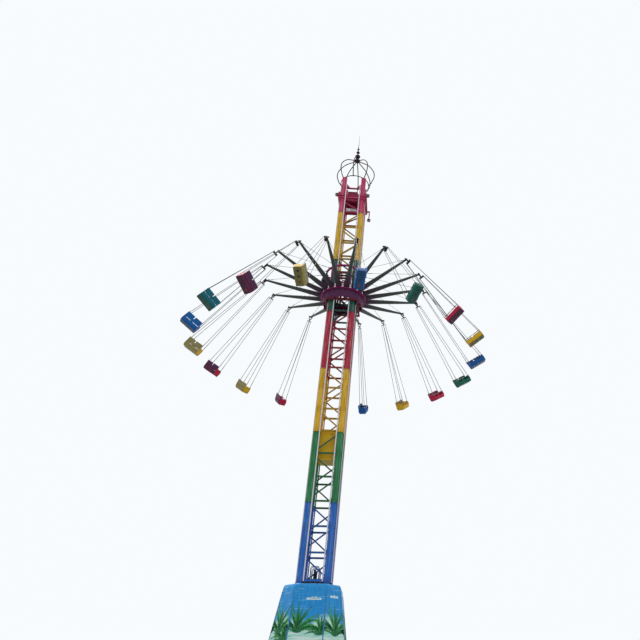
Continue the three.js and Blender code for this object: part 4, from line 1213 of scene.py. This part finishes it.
for k in range(SEATS):
    between_arms = FIRST_ARM + (k + 0.5) * STEP
    c, s = math.cos(between_arms), math.sin(between_arms)
    if k % 3 == 2:
        start = (1.245 * c, 1.245 * s, DRUM_HIGH - 0.02)
        end = (1.245 * c, 1.245 * s, STAY_LOW + 0.02)
        drum_parts.append(beam(start, end, 0.06, 0.06, (c, s, 0)))
        for z0, z1, reach in ((DRUM_HIGH, DRUM_HIGH + 0.2, 1.345), (STAY_LOW, STAY_LOW - 0.2, 1.295)):
            knee = [(1.275, z0), (reach, z0), (1.275, z1)]
            drum_parts.append(radial_plate(knee, between_arms, -0.005, 0.005))
    for offset in (-0.06, 0.06):
        lugs.append(radial_plate(LUG, between_arms, offset - 0.008, offset + 0.008))
    lugs.append(radial_plate(LUG_FACE, between_arms, -0.06, 0.06))
    for r, z, way, count in ((1.342, DRUM_LOW, -1, 4), (1.24, DRUM_LOW, -1, 3), (1.33, DRUM_HIGH, 1, 2)):
        for j in range(count):
            a = between_arms + (j - (count - 1) / 2) * STEP / count
            table_bolts.append(stud((r * math.cos(a), r * math.sin(a), z), (0, 0, way), 0.014, 0.012))
drum_paint = rolled_enamel("enamel_magenta", "#9c1c6c", chalk=0.15)
turntable = piece("turntable_drum", drum_parts, drum_paint, sharp=30)
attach(turntable, "rotor")
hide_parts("turntable")
lug_paint = rolled_enamel("enamel_shell_pink", "#ecd6e0", dirt=0.3)
arm_lugs = piece("turntable_lugs", lugs, lug_paint, edge=0.003)
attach(arm_lugs, "rotor")
drum_bolts = piece("turntable_bolts", table_bolts, zinc)
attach(drum_bolts, "rotor")

# Arms: eighteen tapered steel tubes, rolled and welded in two lengths, in dark enamel. A root
# flange bolts each to the drum, a stay rod holds it up, and a cross shaft carries the hanger.
TIP_RADIUS = 5.10
ROOT_X = 1.376
ROOT_Z = -0.918
ROOT_RADIUS = 0.172
TIP_TUBE_RADIUS = 0.058
SHAFT_RADIUS = 0.030
SHAFT_HALF = 0.152
SECTOR_ARMS = 6


def arm_paint():
    """Dark enamel, sprayed in the shop: green-grey out along the arm, plum where the turntable's
    colour was sprayed over the root, with runs and chips as on the tower."""
    material = rolled_enamel("enamel_gunmetal_green", "#3a4441", chalk=0.5)
    tree, shader, painted, place = second_coat(material)
    along = add(tree, "SeparateXYZ", [place]).outputs["X"]
    near_root = add(tree, "MapRange", {"Value": along, "From Min": 2.9, "From Max": 1.45, "To Max": 0.8},
                    interpolation_type="SMOOTHSTEP")
    colour = add(tree, "Mix", [near_root, painted, linear("#3a1538")], data_type="RGBA")
    feed(shader, {"Base Color": colour})
    return material


root = np.array((ROOT_X, 0, ROOT_Z))
tip = np.array((TIP_RADIUS + 0.055, 0, 0.014))
run = (tip - root) / np.linalg.norm(tip - root)
up = np.cross(run, (0, 1, 0))
shares = np.linspace(0, 1, 13)
radii = [ROOT_RADIUS + (TIP_TUBE_RADIUS - ROOT_RADIUS) * s for s in shares]
arm_shapes = [tube([root + (tip - root) * s for s in shares], 0, 28, radii)]
for share, reach, half in ((0.004, 0.034, 0.014), (0.44, 0.004, 0.010)):
    centre = root + (tip - root) * share
    radius = ROOT_RADIUS + (TIP_TUBE_RADIUS - ROOT_RADIUS) * share + reach
    arm_shapes.append(tube([centre - run * half, centre + run * half], radius, 28))
for k in range(8):
    a = (k + 0.5) * math.pi / 4
    out = math.cos(a) * np.array((0, 1, 0)) + math.sin(a) * up
    arm_shapes.append(stud(root + run * 0.026 + out * (ROOT_RADIUS + 0.018), run, 0.010, 0.010))
    a = k * math.pi / 4
    out = math.cos(a) * np.array((0, 1, 0)) + math.sin(a) * up
    side = np.cross(run, out) * 0.005
    reaches = ((0.02, -0.004), (0.02, 0.030), (0.16, -0.006))
    web = np.array([root + run * along + out * (ROOT_RADIUS + rise) for along, rise in reaches])
    arm_shapes.append(skin([web - side, web + side]))
arm_shapes.append(tube([(TIP_RADIUS, -0.064, 0), (TIP_RADIUS, 0.064, 0)], 0.055, 24))
first_arm = piece("arm_01", arm_shapes, arm_paint())
shaft_shapes = [tube([(TIP_RADIUS, -SHAFT_HALF, 0), (TIP_RADIUS, SHAFT_HALF, 0)], SHAFT_RADIUS, 20)]
for way in (-1, 1):
    shaft_shapes.append(tube([(TIP_RADIUS, way * 0.097, 0), (TIP_RADIUS, way * 0.105, 0)], 0.042, 24))
    shaft_shapes.append(stud((TIP_RADIUS, way * 0.113, 0), (0, way, 0), 0.038, 0.026))
    pin = np.array((TIP_RADIUS, way * (SHAFT_HALF - 0.008), 0.038))
    shaft_shapes.append(tube([pin * (1, 1, -1), pin], 0.004, 8))
stay_from = np.array((STAY_RADIUS + 0.004, 0, 0.700))
stay_to = np.array((TIP_RADIUS - 0.14, 0, 0.030))
stay_run = (stay_to - stay_from) / np.linalg.norm(stay_to - stay_from)
shaft_shapes.append(tube([stay_from, stay_to], 0.010, 10))
for spot, length in ((stay_from + stay_run * 0.45, 0.36), (stay_to - stay_run * 0.25, 0.16)):
    sleeve = [spot + stay_run * length * part for part in (-0.5, -0.4, 0.4, 0.5)]
    shaft_shapes.append(tube(sleeve, 0, 12, [0.011, 0.018, 0.018, 0.011]))
shaft_shapes.append(beam(stay_from, stay_from + stay_run * 0.12, 0.014, 0.05, UP))
shaft_shapes.append(beam(stay_to - stay_run * 0.10, stay_to + stay_run * 0.06, 0.014, 0.05, UP))
first_shaft = piece("arm_shaft_01", shaft_shapes, cast_aluminium("phosphated_forging", "#242526"))


def placed_copy(first, name, matrix):
    """Another object that shares the first one's mesh, or the first one itself, in its place."""
    made = first if first.name == name else bpy.data.objects.new(name, first.data)
    if made is not first:
        bpy.context.scene.collection.objects.link(made)
    made.matrix_world = matrix
    return made


for k in range(SEATS):
    number = f"{k + 1:02d}"
    sector = f"arm_sector_{k // SECTOR_ARMS + 1}"
    matrix = Matrix.Translation((0, 0, TIP_HEIGHT)) @ Matrix.Rotation(FIRST_ARM + k * STEP, 4, "Z")
    for first, kind in ((first_arm, "arm_"), (first_shaft, "arm_shaft_")):
        part = placed_copy(first, kind + number, matrix)
        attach(part, "rotor")
        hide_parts(sector)

# Hangers: a forged fork on each arm's shaft, a round link, a spreader plate and four galvanised
# wire ropes with pressed ferrules. A screw coupling at each rope's foot sets the bench level.
FLING = math.radians(34.6)
BENCH_DROP = 6.22
CHEEK_INNER, CHEEK_OUTER = 0.068, 0.092
ROPE_TOP = (0.150, 0.070, -0.310)
ROPE_FOOT_AT = (0.499, 0.170, 0.129 - BENCH_DROP)
HANGER_ROPE_RADIUS = 0.014
CHEEK_FOOT = [(-0.042, -0.10), (-0.036, -0.195), (0.036, -0.195), (0.042, -0.10)]
SPREADER = [(-0.175, -0.310), (-0.165, -0.325), (0.165, -0.325), (0.175, -0.310), (0.175, -0.287),
            (0.06, -0.270), (0.03, -0.235), (-0.03, -0.235), (-0.06, -0.270), (-0.175, -0.287)]

cheek = [(0.046 * math.cos(a), 0.046 * math.sin(a)) for a in np.radians(np.arange(0, 181, 15))] + CHEEK_FOOT
cheeks = ((CHEEK_INNER, CHEEK_OUTER), (-CHEEK_OUTER, -CHEEK_INNER))
fork_shapes = [upright_plate(cheek, y0, y1) for y0, y1 in cheeks]
fork_shapes.append(block((-0.036, -0.088, -0.200), (0.036, 0.088, -0.145)))
link = [(0, 0, -0.19), (0, 0, -0.21), (0, 0, -0.235), (0, 0, -0.265), (0, 0, -0.285)]
fork_shapes.append(tube(link, 0, 20, [0.038, 0.030, 0.026, 0.026, 0.032]))
fork_shapes.append(upright_plate(SPREADER, -0.012, 0.012))
fork_shapes.append(block((-0.170, -0.086, -0.324), (0.170, 0.086, -0.307)))
wire_shapes = []
foot_shapes = []
for x in (-0.15, 0.15):
    fork_shapes.append(tube([(x, -0.095, -0.299), (x, 0.095, -0.299)], 0.013, 12))
for sx in (-1, 1):
    for sy in (-1, 1):
        top = np.array(ROPE_TOP) * (sx, sy, 1)
        foot = np.array(ROPE_FOOT_AT) * (sx, sy, 1)
        down = (foot - top) / np.linalg.norm(foot - top)
        wire_shapes.append(tube([top, (top + foot) / 2, foot], HANGER_ROPE_RADIUS, 8))
        for spot, length in ((top + down * 0.10, 0.12), (foot - down * 0.50, 0.10)):
            ferrule = [spot + down * length * part for part in (-0.5, -0.42, 0.42, 0.5)]
            foot_shapes.append(tube(ferrule, 0, 12, [0.014, 0.018, 0.018, 0.014]))
        screw = [foot - down * reach for reach in (0.42, 0.38, 0.14, 0.10)]
        foot_shapes.append(tube(screw, 0, 12, [0.014, 0.020, 0.020, 0.014]))
        eye = [foot - down * reach for reach in (0.09, 0.075, 0.015, 0.0)]
        foot_shapes.append(tube(eye, 0, 12, [0.012, 0.019, 0.019, 0.012]))
forging = rolled_enamel("enamel_forging_black", "#1c1e20", chalk=0.2)
first_fork = piece("hanger_fork_01", fork_shapes, forging, edge=0.003)
sleeving = laid_wire("sleeved_wire_rope", "#454b50", 0.05, 0.8, 0.1)
first_wires = piece("hanger_ropes_01", wire_shapes, sleeving)
first_feet = piece("hanger_couplings_01", foot_shapes, zinc)


def pivot_matrix(index):
    """Where a hanger's pivot stands: on its arm tip, flung outward as the ride turns."""
    angle = FIRST_ARM + index * STEP
    place = Vector((TIP_RADIUS * math.cos(angle), TIP_RADIUS * math.sin(angle), TIP_HEIGHT))
    return Matrix.Translation(place) @ Matrix.Rotation(angle, 4, "Z") @ Matrix.Rotation(-FLING, 4, "Y")


for k in range(SEATS):
    number = f"{k + 1:02d}"
    for first, kind in ((first_fork, "hanger_fork_"), (first_wires, "hanger_ropes_"),
                        (first_feet, "hanger_couplings_")):
        part = placed_copy(first, kind + number, pivot_matrix(k))
        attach(part, "chair_" + number)
        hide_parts("hanger_" + number)

# Double benches: each is laid up in glass fibre from one mould, in one of four gelcoats: a tub with
# two swelled seats, side arms and raised backs with vinyl pads. Riders sit side by side, facing -Y.
BENCH_HALF = 0.52
ARM_TOP = 0.128
LAP_BAR = (-0.2175, 0.082)
PLATE_LEVELS = (-0.312, -0.304)
# Per colour: shell gelcoat, base plate, back's outside and vinyl pads. The base plate and back tones are
# darker copies of the shell colour: painted shade, and on the base plate also painted sky reflection.
BENCH_CODES = {
    "blue": ("#0c5aa8", "#0e4576", "#0a60a8", "#16407a"),
    "green": ("#0a6852", "#11524c", "#0c6678", "#12483e"),
    "red": ("#c01c48", "#4a1a3c", "#4e2048", "#8e2448"),
    "yellow": ("#e2b418", "#6c6838", "#8f875a", "#9c8a34"),
}
BENCH_ORDER = [
    "blue", "green", "red", "yellow", "blue", "green", "red", "yellow", "red",
    "yellow", "blue", "green", "red", "yellow", "blue", "green", "red", "yellow",
]
TUB = [(-0.215, -0.300), (0.185, -0.300), (0.250, -0.210), (0.262, -0.070), (-0.262, -0.070),
       (-0.255, -0.200)]
SIDE_ARM = [(-0.225, -0.306), (0.192, -0.306), (0.262, -0.200), (0.294, 0.300), (0.252, 0.300),
            (0.212, ARM_TOP), (-0.225, ARM_TOP), (-0.275, -0.060)]
BACK_SHELL = [(0.226, -0.038), (0.247, -0.038), (0.288, 0.290), (0.264, 0.296)]
BACK_PAD = [(0.211, -0.028), (0.232, -0.028), (0.272, 0.284), (0.248, 0.288)]
BACK_POST = [(0.216, -0.090), (0.248, -0.090), (0.270, 0.125), (0.240, 0.125)]
CONSOLE = [(-0.210, -0.090), (0.235, -0.090), (0.235, 0.055), (0.10, 0.050), (-0.19, 0.040)]
BASE_PLATE = [(-0.226, -0.521), (0.194, -0.521), (0.194, 0.521), (-0.226, 0.521)]


def rounded(outline, radius, steps=5):
    """An outline with an arc of about the given radius in place of each corner."""
    outline = np.array(outline, float)
    smooth = []
    for k, corner in enumerate(outline):
        before, after = outline[k - 1], outline[(k + 1) % len(outline)]
        reach = min(radius, np.linalg.norm(before - corner) * 0.45, np.linalg.norm(after - corner) * 0.45)
        start = corner + (before - corner) / np.linalg.norm(before - corner) * reach
        end = corner + (after - corner) / np.linalg.norm(after - corner) * reach
        for t in np.linspace(0, 1, steps):
            smooth.append((1 - t) ** 2 * start + 2 * t * (1 - t) * corner + t ** 2 * end)
    return np.array(smooth)


def across(outline, stations, change):
    """Skins an outline in (y, z) across the bench; `change` bends it at each station."""
    rings = []
    for x in stations:
        points = change(x, outline)
        rings.append(np.column_stack([np.full(len(points), x), points]))
    return skin(rings)


def tub_section(x, outline):
    """The tub swells at both seats, front and back, is dished on top and draws in at its ends."""
    swell = 0.5 - 0.5 * math.cos(4 * math.pi * (x + 0.5))
    end = max(0.0, abs(x) - 0.47) / 0.03
    middle = np.array((0.0, -0.19))
    points = middle + (outline - middle) * (1 - 0.10 * end ** 2)
    dish = np.exp(-((points[:, 0] - 0.01) / 0.17) ** 2) * (points[:, 1] > -0.16)
    points[:, 1] -= 0.045 * swell * dish
    points[:, 0] += 0.022 * swell * np.sign(points[:, 0]) * (np.abs(points[:, 0]) > 0.2)
    return points


def soft_ends(near, far, depth=0.02):
    """A section that draws in towards both ends, like a moulded pad."""
    def change(x, outline):
        share = max(0.0, 1 - min(x - near, far - x) / depth)
        middle = outline.mean(axis=0)
        return middle + (outline - middle) * (1 - 0.22 * share ** 2)
    return change


def fill_edge(outline, count):
    """The outline with extra points, so that it can be bent between its corners."""
    outline = np.array(outline, float)
    ahead = np.roll(outline, -1, axis=0)
    return np.vstack([a + (b - a) * np.arange(count)[:, None] / count for a, b in zip(outline, ahead)])


def padded_row(outline, near, far, depth, count):
    """A moulded bar across the bench, from one station to another, with soft ends."""
    near, far = sorted((near, far))
    ease = depth * 0.45
    middle = np.linspace(near + depth, far - depth, count)
    stations = np.concatenate([[near, near + ease * 0.35, near + ease], middle,
                               [far - ease, far - ease * 0.35, far]])
    return across(outline, stations, soft_ends(near, far, depth))


def embossed_vinyl(name, code):
    """Embossed vinyl over foam: supple, with a leather grain of 3 mm, worn and darkened in places."""
    material, tree, shader, place = new_finish(name)
    grain = add(tree, "TexVoronoi", {"Vector": place, "Scale": 1 / 0.003})
    worn = add(tree, "TexNoise", {"Vector": place, "Scale": 1 / 0.08, "Detail": 3.0})
    colour = add(tree, "Mix", [worn, toned(code, 0.4), linear(code)], data_type="RGBA")
    rough = add(tree, "MapRange", {"Value": worn, "To Min": 0.3, "To Max": 0.6})
    bump = add(tree, "Bump", {"Strength": 0.3, "Distance": 0.0006, "Height": grain})
    feed(shader, {"Base Color": colour, "Roughness": rough, "Normal": bump})
    return material


def moulded_lens(name, code):
    """Injection-moulded acrylic lamp cover: tinted, glossy, with 12 mm prisms inside."""
    material, tree, shader, place = new_finish(name)
    prisms = add(tree, "TexVoronoi", {"Vector": place, "Scale": 1 / 0.012}, feature="DISTANCE_TO_EDGE")
    share = add(tree, "MapRange", {"Value": prisms.outputs["Distance"], "From Max": 0.3})
    colour = add(tree, "Mix", [share, toned(code, 0.4), linear(code)], data_type="RGBA")
    feed(shader, {"Base Color": colour, "Roughness": 0.12, "IOR": 1.49})
    return material


def bench_gelcoat(name, code, shaded_rear_code):
    """The bright gelcoat, with painted shade on the back's outside: a darker, greyer tone of the
    colour there."""
    material = moulded_gelcoat(name, code, 0.7, 0.5)
    tree, shader, bright, place = second_coat(material)
    axes = add(tree, "SeparateXYZ", [place]).outputs
    # The back's outside turns to the darker tone: painted shade.
    rear = add(tree, "Math", [axes["Z"], -0.11, axes["Y"]], operation="MULTIPLY_ADD")
    share = add(tree, "MapRange", {"Value": rear, "From Min": 0.236, "From Max": 0.242})
    colour = add(tree, "Mix", [share, bright, linear(shaded_rear_code)], data_type="RGBA")
    feed(shader, {"Specular IOR Level": 0.2, "Coat Weight": 0.08, "Base Color": colour})
    return material


TUB_END = [0.485, 0.494, 0.5]
tub_stations = np.concatenate([-np.array(TUB_END[::-1]), np.linspace(-0.47, 0.47, 41), TUB_END])
shell_shapes = [across(rounded(fill_edge(TUB, 5), 0.03, 3), tub_stations, tub_section)]
pad_shapes = []
for way in (-1, 1):
    side_arm = rounded(SIDE_ARM, 0.045, 6)
    shell_shapes.append(padded_row(side_arm, way * (BENCH_HALF - 0.042), way * BENCH_HALF, 0.012, 2))
    shell_shapes.append(padded_row(rounded(BACK_SHELL, 0.010, 4), way * 0.027, way * 0.476, 0.03, 8))
    pad_shapes.append(padded_row(rounded(BACK_PAD, 0.012, 4), way * 0.036, way * 0.468, 0.04, 8))
shell_shapes.append(padded_row(rounded(BACK_POST, 0.008, 3), -0.060, 0.060, 0.012, 3))
shell_shapes.append(padded_row(rounded(CONSOLE, 0.05, 5), -0.038, 0.038, 0.014, 3))

metal_shapes = [tube([(x, *LAP_BAR) for x in (-0.50, -0.25, 0.25, 0.50)], 0.019, 16)]
for way in (-1, 1):
    for x in (way * 0.17, way * 0.34):
        pad_shapes.append(tube([(x - way * 0.06, *LAP_BAR), (x + way * 0.06, *LAP_BAR)], 0.026, 16))
    x = way * 0.499
    metal_shapes.append(block((x - 0.012, -0.245, 0.05), (x + 0.012, -0.19, 0.112)))
    for y in (-0.17, 0.17):
        metal_shapes.append(block((x - 0.014, y - 0.03, ARM_TOP - 0.03),
                                  (x + 0.014, y + 0.03, ARM_TOP + 0.006)))
        for z in (ARM_TOP - 0.04, -0.22):
            metal_shapes.append(stud((way * BENCH_HALF, y, z), (way, 0, 0), 0.014, 0.008))
    metal_shapes.append(stud((way * BENCH_HALF, 0.245, 0.2), (way, 0, 0), 0.014, 0.008))

plate = rounded(BASE_PLATE, 0.03, 5)
base_shapes = [flat_plate([(x, y) for y, x in plate], *PLATE_LEVELS)]
for x in (-0.45, -0.15, 0.15, 0.45):
    for y in (-0.195, 0.163):
        metal_shapes.append(stud((x, y, PLATE_LEVELS[0]), (0, 0, -1), 0.008, 0.004))
lens_shapes = []
red_lens_shapes = []
LENS = [(0.0, -0.3175), (0.035, -0.3172), (0.062, -0.3160), (0.072, -0.3135), (0.074, -0.308),
        (0.0, -0.308)]
for x in (-0.30, 0.0, 0.30):
    target = red_lens_shapes if x < -0.1 else lens_shapes
    target.append(shifted(turned(LENS, 28, closed=False), (x, -0.015, 0)))

first_shells = {}
first_bases = {}
first_pads = {}
for colour, (code, shaded_base_code, shaded_rear_code, pad_code) in BENCH_CODES.items():
    finish = bench_gelcoat(f"gelcoat_{colour}", code, shaded_rear_code)
    first_shells[colour] = piece(f"bench_shell_{colour}", shell_shapes, finish, 50)
    # The base plates' darker, sky-tinted tones are painted shade and painted sky reflection on the
    # underside.
    base_paint = rolled_enamel(f"enamel_shaded_base_{colour}", shaded_base_code, chalk=0.3)
    first_bases[colour] = piece(f"bench_base_{colour}", base_shapes, base_paint, edge=0.002)
    vinyl = embossed_vinyl(f"embossed_vinyl_{colour}", pad_code)
    first_pads[colour] = piece(f"bench_pads_{colour}", pad_shapes, vinyl, sharp=50)
stainless = zinc_plate("satin_stainless", "#b4b6b8")
first_metal = piece("bench_metalwork", metal_shapes, stainless, edge=0.002)
first_lens = piece("bench_lens", lens_shapes, moulded_lens("acrylic_smoke_teal", "#12363c"))
first_red_lens = piece("bench_red_lens", red_lens_shapes, moulded_lens("acrylic_ruby", "#8f3a40"))
for k in range(SEATS):
    number = f"{k + 1:02d}"
    colour = BENCH_ORDER[k]
    matrix = pivot_matrix(k) @ Matrix.Translation((0, 0, -BENCH_DROP))
    kinds = [
        (first_shells[colour], "bench_shell_", "bench_" + colour),
        (first_bases[colour], "bench_base_", "arm_dark"),
        (first_metal, "bench_metalwork_", "hanger_steel"),
        (first_pads[colour], "bench_pads_", "rope_steel"),
        (first_lens, "bench_lens_", "machine_red"),
        (first_red_lens, "bench_red_lens_", "machine_red"),
    ]
    for first, kind, slot_name in kinds:
        part = placed_copy(first, kind + number, matrix)
        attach(part, "chair_" + number)
        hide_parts("bench_" + number)
for firsts in (first_shells.values(), first_bases.values(), first_pads.values(),
               [first_metal, first_lens, first_red_lens]):
    for first in firsts:
        bpy.data.objects.remove(first)

# Studio: a wide pale floor and a bright backdrop that dims behind the camera, so that the faces
# towards it keep their depth, with one soft key light from high behind.
FLOOR_HALF = 150.0
KEY_TURN = (27, 0, -140)


def studio_floor():
    """Pale matt screed, with slow cloudy variation 3 m across."""
    material, tree, shader, place = new_finish("pale_screed")
    clouds = add(tree, "TexNoise", {"Vector": place, "Scale": 1 / 3.0, "Detail": 3.0})
    colour = add(tree, "Mix", [clouds, linear("#a4a5a3"), linear("#b0b1af")], data_type="RGBA")
    feed(shader, {"Base Color": colour, "Roughness": 0.9})
    return material


slab = block((-FLOOR_HALF, -FLOOR_HALF, -0.2), (FLOOR_HALF, FLOOR_HALF, -0.001))
piece("studio_floor", [slab], studio_floor())

key = bpy.data.objects.new("key_light", bpy.data.lights.new("key_light", "SUN"))
bpy.context.scene.collection.objects.link(key)
key.rotation_euler = [math.radians(angle) for angle in KEY_TURN]
key.data.energy = 1.5
key.data.angle = math.radians(35)
key.data.color = (1.0, 0.98, 0.95)

backdrop = bpy.data.worlds.new("bright_backdrop")
backdrop.use_nodes = True
bpy.context.scene.world = backdrop
sky_tree = backdrop.node_tree
direction = add(sky_tree, "TexCoord").outputs["Generated"]
depth = add(sky_tree, "SeparateXYZ", [direction]).outputs["Y"]
ahead = add(sky_tree, "MapRange",
            {"Value": depth, "From Min": -0.2, "From Max": 0.35, "To Min": 0.8, "To Max": 1.0},
            interpolation_type="SMOOTHSTEP")
feed(sky_tree.nodes["Background"], {"Color": linear("#f8fbfd"), "Strength": ahead})

bpy.context.scene.view_settings.view_transform = "Standard"
